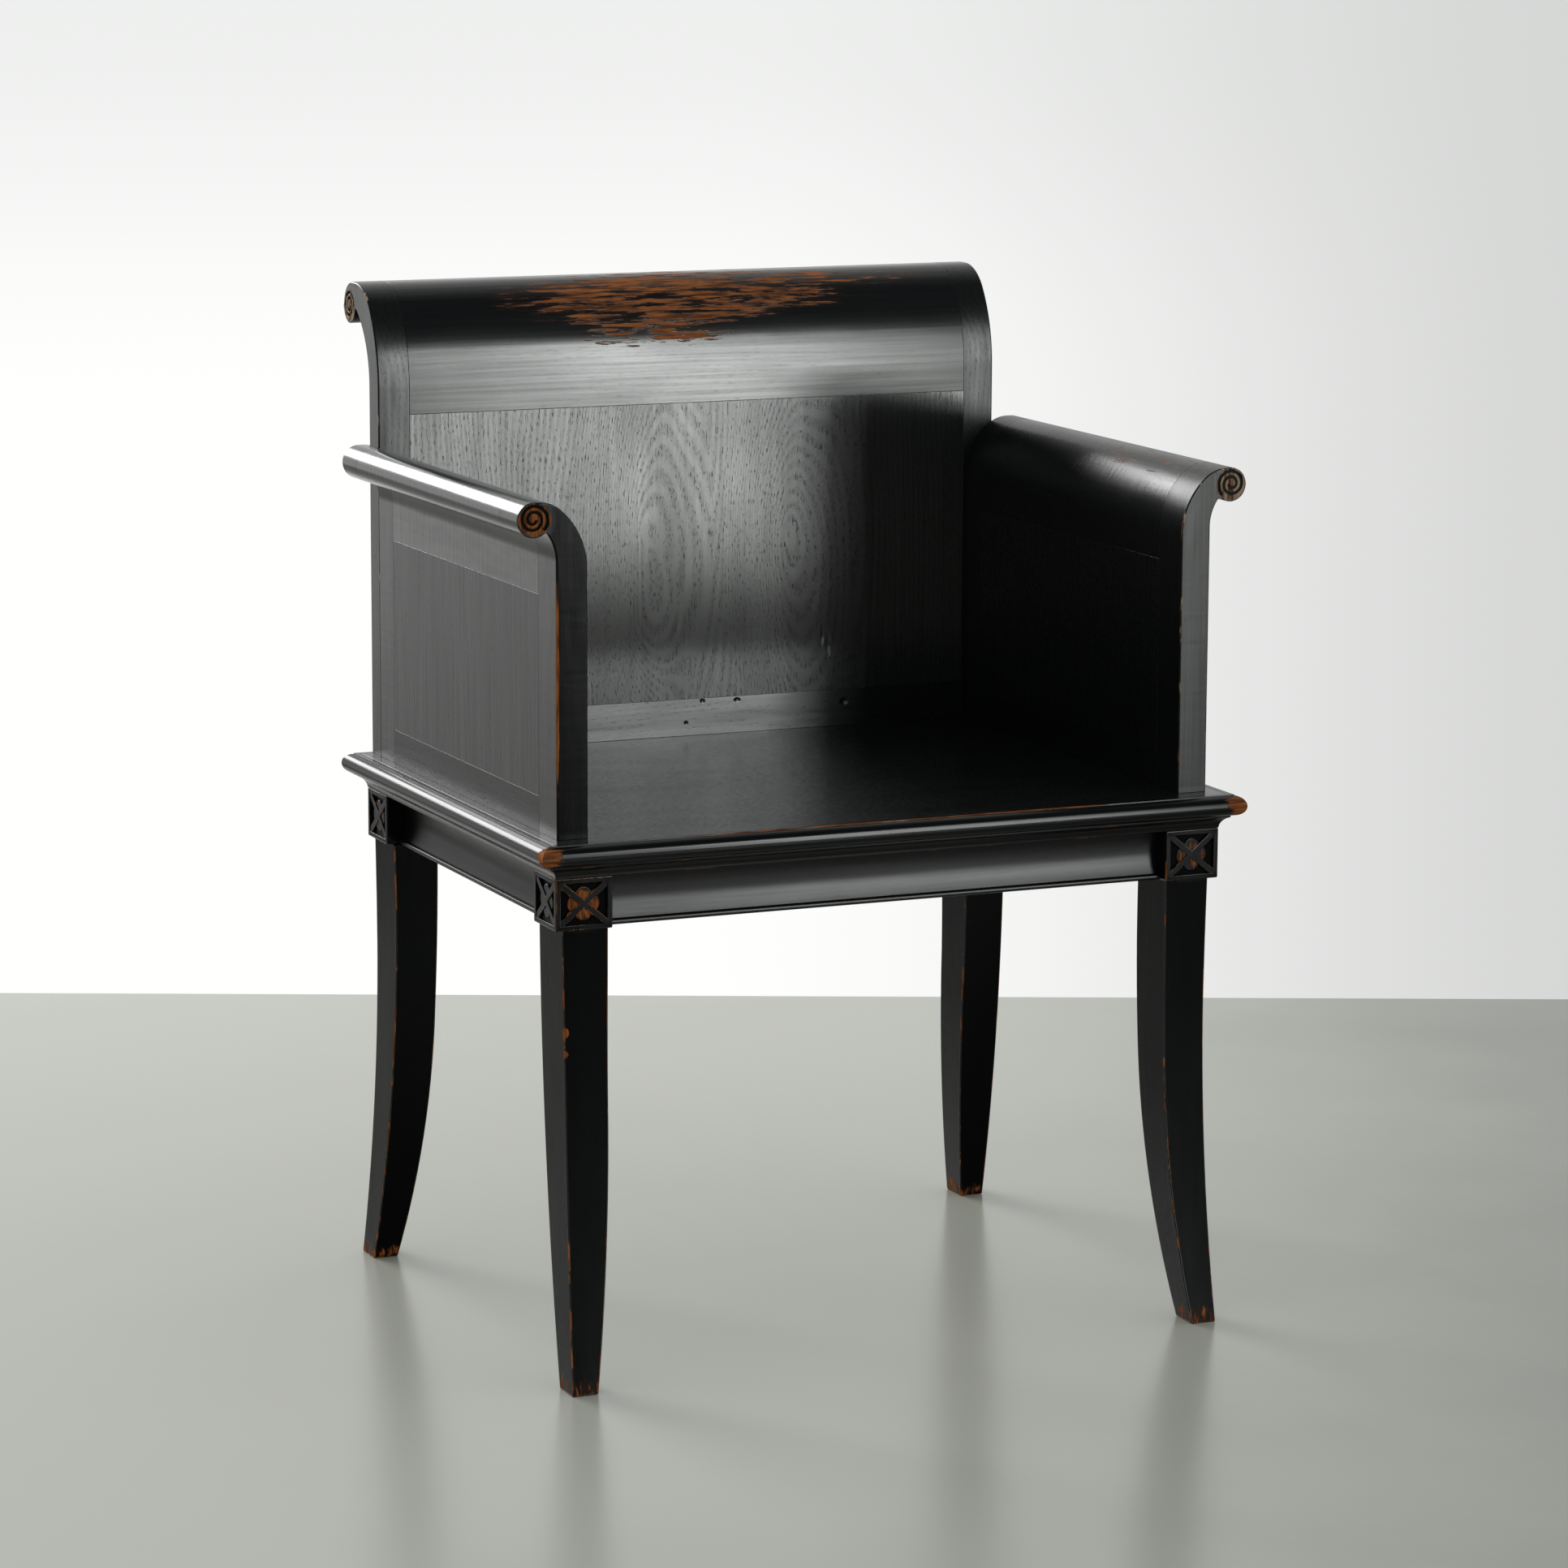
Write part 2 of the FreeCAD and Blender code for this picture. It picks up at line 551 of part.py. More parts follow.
def scroll_outline(kind, face, sign, low):
    """Section of an arm or the back: upright below, swept over to a roll on the outer side.

    The outer face is at face, and sign is the direction in which the roll hangs over.
    """
    thickness = f"{kind}_thickness"
    radius, top_radius = f"{kind}_roll_radius", f"{kind}_roll_top_radius"
    shoulder = f"{kind}_shoulder_radius"
    roll_u, roll_z = roll_centre(kind)
    top_u = f"({roll_u} + {radius} - {top_radius})"
    top_z = f"({roll_z} + {top_radius})"
    flat_u = f"({top_u} - {kind}_flat)"
    curve_z = f"(seat_height + {kind}_curve_rise)"
    neck_z = f"(seat_height + {kind}_neck_rise)"
    # The inner side is two arcs: a wide sweep off the upright, then the shoulder to the top.
    width = f"({flat_u} + {thickness})"
    height = f"({top_z} - {curve_z})"
    sweep = f"(({width}^2 + {height}^2 - 2 * {height} * {shoulder}) / (2 * ({width} - {shoulder})))"
    reach = f"({sweep} / ({sweep} - {shoulder}))"
    meet_u = f"({sweep} - {thickness} + ({flat_u} - {sweep} + {thickness}) * {reach})"
    meet_z = f"({curve_z} + ({top_z} - {shoulder} - {curve_z}) * {reach})"
    toward_share, down_share = CREVICE_SHARES[kind]
    crevice_u = f"({roll_u} - {radius} * {toward_share})"
    crevice_z = f"({roll_z} - {radius} * {down_share})"
    neck_radius = tangent_radius(crevice_u, span(neck_z, crevice_z))

    def out(text):
        return times(sign, f"{face} + {text}")

    return [
        (out(f"-{thickness}"), low),
        (out("0"), low),
        (out("0"), neck_z),
        (out(crevice_u), crevice_z, neck_radius, -sign),
        (out(roll_u), f"({roll_z} - {radius})", radius, sign),
        (out(f"{roll_u} + {radius}"), roll_z, radius, sign),
        (out(top_u), top_z, top_radius, sign),
        (out(flat_u), top_z),
        (out(meet_u), meet_z, shoulder, sign),
        (out(f"-{thickness}"), curve_z, sweep, sign)]


def roll_centre(kind):
    """Middle of a roll: out from the outer face, and up."""
    return f"{kind}_roll_overhang", f"(seat_height + {kind}_roll_centre_rise)"


def carve_volute(body, name, role, end, inward, kind, face, sign):
    """Spiral groove in one end of a roll: from the crevice over the top, tightening to the eye."""
    across, up = roll_centre(kind)
    toward_share, down_share = CREVICE_SHARES[kind]
    directions = ((-1, 0), (0, 1), (1, 0), (0, -1))
    outer, inner = [], []
    for quarter in range(VOLUTE_QUARTERS + 1):
        away_u, away_z = directions[quarter % len(directions)] if quarter else (-toward_share, -down_share)
        line_radius = f"({kind}_roll_radius - volute_margin - {max(quarter - 1, 0)} * volute_step)"
        for wall, width_share in ((outer, 0.5), (inner, -0.5)):
            radius = f"({line_radius} + {width_share} * volute_groove_width)"
            wall.append((times(sign, f"{face} + {across} + {away_u} * {radius}"),
                         f"({up} + {away_z} * {radius})", radius))
        if quarter > 0:
            across = f"({across} + {away_u} * volute_step)"
            up = f"({up} + {away_z} * volute_step)"
    corners = [outer[0][:2]]
    corners += [(*point, -sign) for point in outer[1:]]
    corners += [inner[-1][:2]]
    for before, point in zip(inner[-2::-1], inner[:0:-1]):
        corners.append((*before[:2], point[2], sign))
    floor = f"({end} + {inward} * volute_groove_depth)"
    pocket(body, name, role, f"({end} - {inward} * cut_overrun)", floor, corners)


def stub_tenon_z(kind):
    low = f"(seat_height + {kind}_rail_rise + stub_tenon_shoulder)"
    return low, f"({low} + stub_tenon_height)"


def make_stile(label, kind, role, face, sign, start, end, joint, ends):
    """Stile of an arm or the back: the whole section, with the seat tenon and the rail's sockets.

    The stile runs from start to end; joint is the one of these that meets panel and rail,
    and ends lists the ends that carry a carved spiral, with the direction into the wood.
    """
    body = start_piece(label)
    pad(body, "stile", role, start, end, scroll_outline(kind, face, sign, "seat_height"))
    line = times(sign, f"{face} - {kind}_thickness / 2")
    low, high = around(line, "stile_tenon_thickness / 2")
    pad(body, "tenon", role, f"({start} + stile_tenon_shoulder)", f"({end} - stile_tenon_shoulder)",
        box(low, "(seat_height - stile_tenon_length)", high, "(seat_height + stile_tenon_shoulder)"))
    pocket(body, "rail_socket", role, *around(joint, "stub_tenon_length + joint_room"),
           box(low, stub_tenon_z(kind)[0], high, stub_tenon_z(kind)[1]))
    low, high = around(line, "tongue_thickness / 2")
    pocket(body, "panel_groove", role, *around(joint, "tongue_depth + joint_room"),
           box(low, "seat_height", high, f"(seat_height + {kind}_rail_rise)"))
    roll_u, roll_z = roll_centre(kind)
    pin_hole(body, "roll_socket", role, *around(joint, "roll_pin_length / 2 + joint_room"),
             times(sign, f"{face} + {roll_u}"), roll_z, "roll_pin")
    for index, (carved_end, inward) in enumerate(ends):
        carve_volute(body, f"volute_{index}", role, carved_end, inward, kind, face, sign)
    return body


def make_scroll_rail(label, kind, role, face, sign, start, end):
    """Rolled top rail between two stiles, with a stub tenon at each end and a groove below."""
    body = start_piece(label)
    low_z = f"(seat_height + {kind}_rail_rise)"
    pad(body, "rail", role, start, end, scroll_outline(kind, face, sign, low_z))
    line = times(sign, f"{face} - {kind}_thickness / 2")
    low, high = around(line, "stile_tenon_thickness / 2")
    pad(body, "tenons", role, f"({start} - stub_tenon_length)", f"({end} + stub_tenon_length)",
        box(low, stub_tenon_z(kind)[0], high, stub_tenon_z(kind)[1]))
    low, high = around(line, "tongue_thickness / 2")
    pocket(body, "groove", role, f"({start} - cut_overrun)", f"({end} + cut_overrun)",
           box(low, f"({low_z} - cut_overrun)", high, f"({low_z} + tongue_depth + joint_room)"))
    roll_u, roll_z = roll_centre(kind)
    for name, level in (("first", start), ("second", end)):
        pin_hole(body, f"{name}_roll_socket", role, *around(level, "roll_pin_length / 2 + joint_room"),
                 times(sign, f"{face} + {roll_u}"), roll_z, "roll_pin")


def make_panel(label, kind, role, face, sign, start, end, low_z, high_z, low_tongue, high_tongue):
    """Flush panel between two stiles, with tongues at its sides and of given depths below and above."""
    body = start_piece(label)
    outer, inner = times(sign, face), times(sign, f"{face} - {kind}_thickness")
    pad(body, "panel", role, start, end, box(inner, low_z, outer, high_z))
    low, high = around(middle(outer, inner), "tongue_thickness / 2")
    pad(body, "side_tongues", role, f"({start} - tongue_depth)", f"({end} + tongue_depth)",
        box(low, low_z, high, high_z))
    pad(body, "edge_tongues", role, start, end,
        box(low, f"({low_z} - {low_tongue})", high, f"({high_z} + {high_tongue})"))
    return body


def make_infill(label, kind, role, face, sign, start, end):
    """Panel between two stiles, standing in the groove of a bottom rail that is let into the seat."""
    section = (kind, role, face, sign, start, end)
    rail_top = f"(seat_height + {kind}_bottom_rail_height)"
    make_panel(f"{label}_panel", *section, rail_top, f"(seat_height + {kind}_rail_rise)",
               "tongue_depth", "tongue_depth")
    rail = make_panel(f"{label}_bottom_rail", *section, "seat_height", rail_top, "seat_groove_depth", "0")
    low, high = around(times(sign, f"{face} - {kind}_thickness / 2"), "tongue_thickness / 2")
    past = "(tongue_depth + cut_overrun)"
    pocket(rail, "groove", role, f"({start} - {past})", f"({end} + {past})",
           box(low, f"({rail_top} - tongue_depth - joint_room)", high, f"({rail_top} + cut_overrun)"))


def make_arm(side):
    sign = SIDES[side]
    frame = ("arm", "XZ_Plane", ARM_X, sign)
    front_start, front_end = arm_stile_span("front")
    rear_start, rear_end = arm_stile_span("rear")
    make_stile(f"arm_{side}_front_stile", *frame, front_start, front_end, front_end, [(front_start, 1)])
    rear = make_stile(f"arm_{side}_rear_stile", *frame, rear_start, rear_end, rear_start, [(rear_end, -1)])
    for name in ("low", "high"):
        pin_hole(rear, f"{name}_pin_socket", "XZ_Plane",
                 *around(rear_end, "arm_pin_length - arm_pin_bite + joint_room"),
                 times(sign, ARM_MIDDLE), f"(seat_height + arm_pin_{name}_rise)", "arm_pin")
    make_scroll_rail(f"arm_{side}_scroll_rail", *frame, front_end, rear_start)
    make_infill(f"arm_{side}", *frame, front_end, rear_start)


def make_back():
    frame = ("back", "YZ_Plane", BACK_REAR, 1)
    inner = f"({ARM_X} - back_stile_width)"
    for side, sign in SIDES.items():
        joint, outer = times(sign, inner), times(sign, ARM_X)
        start, end = (outer, joint) if sign < 0 else (joint, outer)
        body = make_stile(f"back_{side}_stile", *frame, start, end, joint, [(outer, -sign)])
        for name in ("low", "high"):
            pin_hole(body, f"{name}_pin_socket", "XZ_Plane",
                     *around(BACK_FRONT, "arm_pin_bite + joint_room"),
                     times(sign, ARM_MIDDLE), f"(seat_height + arm_pin_{name}_rise)", "arm_pin")
    make_scroll_rail("back_scroll_rail", *frame, f"-{inner}", inner)
    make_infill("back", *frame, f"-{inner}", inner)


def make_pins(label, spans):
    """Group of square pins; each is given by its low and high ends along the three axes."""
    pins = []
    for index, ends in enumerate(spans):
        pin = doc.addObject("Part::Box", f"{label}_{index}")
        for size, axis, (low, high) in zip(("Length", "Width", "Height"), "xyz", ends):
            pin.setExpression(size, bound(span(low, high)))
            pin.setExpression(f".Placement.Base.{axis}", bound(low))
        pins.append(pin)
    group = doc.addObject("Part::Compound", label)
    group.Label = label
    group.Links = pins
    group.setExpression(".Placement.Base.y", bound(f"-{DEPTH_MIDDLE}"))
    pieces.append(group)


def thick(text, pin):
    """Sides of a pin about its middle line."""
    return around(text, f"{pin}_size / 2")


def long_from(inner, sign, length):
    """Ends of a pin that starts at a face and goes outwards, in rising order."""
    near, far = times(sign, inner), times(sign, f"{inner} + {length}")
    return (near, far) if sign > 0 else (far, near)


def make_all_pins():
    """Pegs in the leg heads, pins between arms and back, and pins inside the rolls."""
    rail_pegs, arm_pins, roll_pins = [], [], []
    for side_sign in SIDES.values():
        for end_sign in ENDS.values():
            for role, inner, sign, across, up in peg_holes(end_sign, side_sign):
                sides, along = thick(across, "rail_peg"), long_from(inner, sign, "rail_peg_length")
                x, y = (sides, along) if role == "XZ_Plane" else (along, sides)
                rail_pegs.append((x, y, thick(up, "rail_peg")))
        rear = f"({BACK_FRONT} + arm_pin_bite)"
        for name in ("low", "high"):
            arm_pins.append((thick(times(side_sign, ARM_MIDDLE), "arm_pin"),
                             (f"({rear} - arm_pin_length)", rear),
                             thick(f"(seat_height + arm_pin_{name}_rise)", "arm_pin")))
        roll_u, roll_z = roll_centre("arm")
        for joint in (arm_stile_span("front")[1], arm_stile_span("rear")[0]):
            roll_pins.append((thick(times(side_sign, f"{ARM_X} + {roll_u}"), "roll_pin"),
                              around(joint, "roll_pin_length / 2"), thick(roll_z, "roll_pin")))
        roll_u, roll_z = roll_centre("back")
        joint = times(side_sign, f"{ARM_X} - back_stile_width")
        roll_pins.append((around(joint, "roll_pin_length / 2"),
                          thick(f"({BACK_REAR} + {roll_u})", "roll_pin"), thick(roll_z, "roll_pin")))
    make_pins("rail_pegs", rail_pegs)
    make_pins("arm_pins", arm_pins)
    make_pins("roll_pins", roll_pins)


def write_pieces():
    """Check every object and write one file for each piece."""
    doc.recompute()
    for thing in doc.Objects:
        if "Invalid" in thing.State or "Error" in thing.State:
            raise RuntimeError(f"{thing.Label} did not build: {thing.State}")
    for piece in pieces:
        if piece.Shape.isNull() or not piece.Shape.isValid():
            raise RuntimeError(f"{piece.Label} has no valid shape")
    os.makedirs("parts", exist_ok=True)
    for piece in pieces:
        piece.Shape.exportStep(f"parts/{piece.Label}.step")
        print(piece.Label, len(piece.Shape.Solids), round(piece.Shape.Volume))


for end in ENDS:
    for side in SIDES:
        make_leg(end, side)
for name in (*ENDS, *SIDES):
    make_rail(name)
for name in (*ENDS, *SIDES):
    make_frame_member(name)
make_seat_board()
for side in SIDES:
    make_batten(side)
for side in SIDES:
    make_arm(side)
make_back()
make_all_pins()
write_pieces()
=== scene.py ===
import math
from dataclasses import dataclass
from types import SimpleNamespace
from typing import Callable, NamedTuple

import bmesh
import bpy
from bpy.props import FloatProperty, FloatVectorProperty, IntProperty, PointerProperty
from mathutils import Matrix, Vector


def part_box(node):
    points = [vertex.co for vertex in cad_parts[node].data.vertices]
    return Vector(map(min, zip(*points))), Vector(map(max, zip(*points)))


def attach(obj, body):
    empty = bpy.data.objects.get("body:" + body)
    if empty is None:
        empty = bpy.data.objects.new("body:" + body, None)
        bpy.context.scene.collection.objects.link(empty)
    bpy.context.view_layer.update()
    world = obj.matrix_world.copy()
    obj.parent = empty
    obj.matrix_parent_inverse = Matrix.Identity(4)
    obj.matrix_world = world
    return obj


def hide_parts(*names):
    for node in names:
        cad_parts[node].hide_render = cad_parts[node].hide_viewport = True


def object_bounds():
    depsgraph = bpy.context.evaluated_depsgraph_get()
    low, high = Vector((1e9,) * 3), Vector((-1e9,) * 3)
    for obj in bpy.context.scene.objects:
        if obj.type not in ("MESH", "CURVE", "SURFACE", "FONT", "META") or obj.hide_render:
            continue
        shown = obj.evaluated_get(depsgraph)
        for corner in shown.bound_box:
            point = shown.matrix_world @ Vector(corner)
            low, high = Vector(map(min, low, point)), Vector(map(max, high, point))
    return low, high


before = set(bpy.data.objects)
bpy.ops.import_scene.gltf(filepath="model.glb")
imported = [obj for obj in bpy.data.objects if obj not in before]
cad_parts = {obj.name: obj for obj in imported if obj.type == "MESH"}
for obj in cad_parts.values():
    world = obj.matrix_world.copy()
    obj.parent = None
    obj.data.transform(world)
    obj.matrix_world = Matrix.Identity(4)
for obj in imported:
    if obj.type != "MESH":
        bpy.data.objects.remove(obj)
CAD_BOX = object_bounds()

bl_info = {
    "name": "Scroll-back Armchair",
    "version": (1, 0, 0),
    "blender": (4, 5, 0),
    "location": "View3D > Sidebar > Armchair",
    "description": "Dresses the joined armchair in worn black lacquer and sets it in a studio",
    "category": "Object",
}

MM = 0.001
X, Y, Z = range(3)
SIDES = ("left", "right")
ENDS = ("front", "rear")
BARE_NODES = ("seat_batten_left", "seat_batten_right", "rail_pegs", "arm_pins", "roll_pins")


def mm(*lengths):
    """Lengths in millimetres, turned into metres."""
    return tuple(length * MM for length in lengths)


class Place(NamedTuple):
    """Spot on the chair: its centre, its reach along each axis, and how strongly it acts."""
    centre: tuple
    reach: tuple
    level: float


class Easing(NamedTuple):
    """Edges to round: a test on the two ends of an edge, a radius, and how readily the arris wears."""
    test: Callable
    radius: float
    wear: float


# Sizes of the rolled, carved and moulded work
ARM_ROLL_RADIUS = 14.5 * MM
BACK_ROLL_RADIUS = 15.0 * MM
BACK_ROLL_TOP_RADIUS = 22.0 * MM
CARVING_BORDER = 4.0 * MM
HEAD_GROUND = 2.2 * MM
SPIRAL_GROUND = 1.2 * MM
SPIRAL_MARGIN = 1.0 * MM
FRAME_OVERHANG = 24.0 * MM
NOSE_DEPTH = 8.5 * MM

# Levels taken from the frame
SEAT_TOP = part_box("seat_board")[1].z
HEAD_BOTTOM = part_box("seat_rail_front")[0].z
HEAD_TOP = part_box("seat_rail_front")[1].z
HEAD_MIDDLE = (HEAD_BOTTOM + HEAD_TOP) / 2

# Tolerances, turns and weight for welding points, telling edges apart and shading
WELD_DISTANCE = 0.001 * MM
PLANE_TOLERANCE = 0.02 * MM
ROLL_TOLERANCE = 0.05 * MM
SEAT_TOLERANCE = 0.2 * MM
FLAT_TURN = math.radians(0.5)
SHARP_TURN = math.radians(33)
CREASE_TURN = math.radians(46)
LARGE_FACE_WEIGHT = 100

# Patterns of the wood and of its wear, in repeats per metre along and across the grain
RING_DRIFT = (1.7, 8.0)
RING_COUNT = (0.0, 170.0)
PORE_FLECKS = (150.0, 1300.0)
SHEEN_STREAKS = (5.0, 330.0)
FINE_RIBS = (12.0, 2400.0)
PLANE_WAVES = (8.0, 26.0)
CHATTER_MARKS = (170.0, 22.0)
GLOSS_MOTTLE = (9.0, 30.0)
RUBBED_LENGTHS = (38.0, 38.0)
WORN_PATCHES = (26.0, 280.0)
WORN_STREAKS = (34.0, 420.0)

# Where a pattern begins to show, and where it shows in full
RING_EDGE = (0.08, 0.42)
PORE_EDGE = (0.57, 0.67)
WORN_STREAK_EDGE = (0.36, 0.62)
BARE_STREAK_EDGE = (0.3, 0.7)
TOUCHED_EDGE = (0.02, 0.15)
THIN_EDGE = (0.26, 0.55)
WORN_EDGE = (0.5, 0.62)
WORN_PLACE_EDGE = (0.0, 0.55)
SHEEN_PLACE_EDGE = (0.0, 0.3)
DENT_EDGE = (0.0, 1.0)

# Strength of the patterns
RING_WANDER = 26.0
LATE_WOOD_PORES = 0.2
SOUND_ARRIS = 0.72
ARRIS_GIVE = 0.5
ARRIS_EDGE = (-0.12, 0.26)
HOLLOW_SHELTER = 0.6
PATCH_CONTRAST = 1.6
MOTTLE_SWING = 0.1
STREAK_SWING = 2.4
PORE_ROUGHNESS = 0.12
PORE_DULLING = 0.38
RING_DULLING = 0.17
# Sheen lost on worn wood, and in sunk carving as painted shade
WEAR_AND_SHADE_DULLING = 0.88
FILM_THICKNESS = 0.1 * MM
BARE_DARKENING = 0.55
BARE_ROUGHNESS = 0.6
BARE_PORE_ROUGHNESS = 0.2

# Wear of the legs: feet, carved flowers, and two chips on the left front shank
FOOT_INSET_ACROSS = 18.0 * MM
FOOT_INSET_ALONG = 15.0 * MM
FOOT_REACH = mm(42, 42, 24)
FOOT_WEAR = {"front": 0.46, "rear": 0.54}
PETAL_DEPTH = 2.1 * MM
FLOWER_DROP = 1.0 * MM
FLOWER_REACH = mm(26, 1.5, 20)
FLOWER_WEAR = {"left": 0.85, "right": 0.58}
SHANK_CHIPS = (
    Place(mm(-294, -249.5, 301), mm(5, 5, 6), 1.0),
    Place(mm(-294, -249.5, 283), mm(4, 4, 4), 1.0),
)
HEAD_POLISH_REACH = mm(60, 60, 30)
HEAD_POLISH = 0.13

# Wear of the seat: a line along the front nosing, and the two front corners
NOSE_LINE_REACH = mm(1.7, 1.6)
CORNER_INSET = 4.0 * MM
CORNER_DROP = 8.0 * MM
CORNER_REACH = mm(24, 13, 13)
SEAT_WEAR = 0.75

# Wear and polish of the rolls and of the arms' front edges
SPIRAL_REACH = 20.0 * MM
SPIRAL_RIDGE = 1.5 * MM
SPIRAL_WEAR = 0.9
ARM_EDGE_HEIGHT = 594.0 * MM
ARM_EDGE_REACH = mm(3, 3, 125)
ARM_POLISH_REACH = mm(26, 60, 26)
ARM_FRONT_REACH = mm(800, 3, 800)

# Marks on the back: the rubbed patch on the scroll, then rows of across, up, reach and level
SCROLL_PATCH = (
    Place(mm(-5, 215, 856), mm(235, 90, 38), 0.56),
    Place(mm(-30, 200, 834), mm(125, 90, 30), 0.54),
    Place(mm(150, 225, 866), mm(140, 90, 11), 0.48),
)
RAIL_KNOTS = (
    (10, 491, (3, 3, 2.5), 0.6 * MM),
    (44, 490, (4, 3, 2.5), 0.6 * MM),
    (-6, 472, (2.5, 3, 2), 0.6 * MM),
    (150, 482, (5, 3, 4), 0.6 * MM),
)
PANEL_FLAMES = (
    (-50, 650, (70, 60, 190), 13.0),
    (93, 640, (66, 60, 180), 11.0),
    (-57, 560, (48, 60, 80), 5.0),
)
PANEL_BRUISES = (
    (134, 535, (4, 3, 14), 0.5 * MM),
    (128, 545, (2.5, 3, 12), 0.4 * MM),
)
PANEL_MIDDLE = 620.0 * MM
PANEL_REAR_REACH = mm(900, 6, 900)
PANEL_REAR_DULLING = 0.5
BOTTOM_RAIL_LEAN = (0.0, 0.0, -0.02)

# Floor: clouds in repeats per metre, painted shade to the right, shine near the chair
FLOOR_CLOUDS = (2.2, 2.2, 2.2)
FLOOR_PAINTED_SHADE_EDGE = (0.3, 1.3)
FLOOR_CLOUD_SWAY = 0.3
FLOOR_PAINTED_SHADE = 0.42
FLOOR_ROUGHNESS = 0.17
FLOOR_CLOUD_ROUGHNESS = 0.14
FLOOR_SHINE_EDGE = (-1.4, -0.9)
FLOOR_SHINE = 0.5

# Lamps
WINDOW_TINT = (0.96, 1.0, 0.97)
PANE_LEAD = 0.02
WASH_POSITION = Vector((-1.6, 4.2, 2.4))
WASH_WIDTH = 2.4
WASH_HEIGHT = 1.7

# Surroundings, by the rise of a direction and by how far it points right or ahead
WALL_LOW = (1.0, 1.0, 0.99)
WALL_HIGH = (0.86, 0.87, 0.86)
WALL_RISE = (-0.11, -0.04)
WALL_RIGHT = (0.66, 0.67, 0.66)
WALL_RIGHT_EDGE = (-0.02, 0.16)
SIDE_LOW = (0.34, 0.34, 0.33)
SIDE_RISE = (-0.2, -0.12)
SIDE_EDGE = (-0.5, -0.3)
ROOM = (0.22, 0.26, 0.27)
CEILING = (0.085, 0.095, 0.1)
CEILING_RISE = (0.1, 0.5)
AHEAD_EDGE = (-0.1, 0.75)
FILL_COLOR = (0.97, 0.99, 1.0, 1.0)
FILL_STRENGTH = 0.75

# Camera
SENSOR_WIDTH = 36.0
SIGHT_LIMIT = 200.0


class LacquerSettings(bpy.types.PropertyGroup):
    """Colours and surface of the finish."""

    lacquer_color: FloatVectorProperty(
        name="Lacquer", description="Colour of the sound black lacquer",
        subtype="COLOR", size=3, default=(0.0026, 0.0029, 0.0030))
    thin_color: FloatVectorProperty(
        name="Thin lacquer", description="Colour where the lacquer is rubbed thin",
        subtype="COLOR", size=3, default=(0.024, 0.0095, 0.0042))
    worn_color: FloatVectorProperty(
        name="Worn wood", description="Colour of the wood where the lacquer is gone",
        subtype="COLOR", size=3, default=(0.30, 0.098, 0.026))
    worn_shade_color: FloatVectorProperty(
        name="Worn wood, dark", description="Colour of the dark streaks in the worn wood",
        subtype="COLOR", size=3, default=(0.088, 0.030, 0.011))
    pale_color: FloatVectorProperty(
        name="Pale wear", description="Colour of carved ridges that hands have rubbed pale",
        subtype="COLOR", size=3, default=(0.33, 0.245, 0.165))
    bare_color: FloatVectorProperty(
        name="Bare wood", description="Colour of pieces that were never lacquered",
        subtype="COLOR", size=3, default=(0.33, 0.19, 0.09))
    worn_roughness: FloatProperty(
        name="Worn roughness", description="Roughness of the worn wood",
        subtype="FACTOR", min=0.0, max=1.0, default=0.5)
    pore_depth: FloatProperty(
        name="Pore depth", description="How far open pores sink into the lacquer",
        subtype="DISTANCE", precision=6, default=0.004 * MM)
    ring_depth: FloatProperty(
        name="Ring depth", description="Relief of the growth rings under the lacquer",
        subtype="DISTANCE", precision=6, default=0.006 * MM)
    wave_depth: FloatProperty(
        name="Wave depth", description="Height of the waves left by hand planing",
        subtype="DISTANCE", precision=6, default=0.35 * MM)


class ArrisSettings(bpy.types.PropertyGroup):
    """Easing of the edges."""

    stile_radius: FloatProperty(
        name="Stile arris", description="Easing along the edges of arms and back",
        subtype="DISTANCE", precision=5, default=1.4 * MM)
    leg_radius: FloatProperty(
        name="Leg arris", description="Easing along the edges of the legs",
        subtype="DISTANCE", precision=5, default=1.2 * MM)
    moulding_radius: FloatProperty(
        name="Moulding arris", description="Easing along the fillets of the seat rails",
        subtype="DISTANCE", precision=5, default=0.6 * MM)
    carving_radius: FloatProperty(
        name="Carving arris", description="Easing along the carved flowers and crosses",
        subtype="DISTANCE", precision=5, default=0.8 * MM)
    rim_radius: FloatProperty(
        name="Rim arris", description="Easing along the rims of the sunk squares in the leg heads",
        subtype="DISTANCE", precision=5, default=0.45 * MM)
    spiral_radius: FloatProperty(
        name="Spiral arris", description="Easing along the carved spirals and the rims of the rolls",
        subtype="DISTANCE", precision=5, default=0.8 * MM)
    seam_radius: FloatProperty(
        name="Seam", description="Easing along the hairline seams and the seat's edges",
        subtype="DISTANCE", precision=5, default=0.3 * MM)
    segments: IntProperty(
        name="Segments", description="Facets across an eased edge", min=1, max=6, default=3)


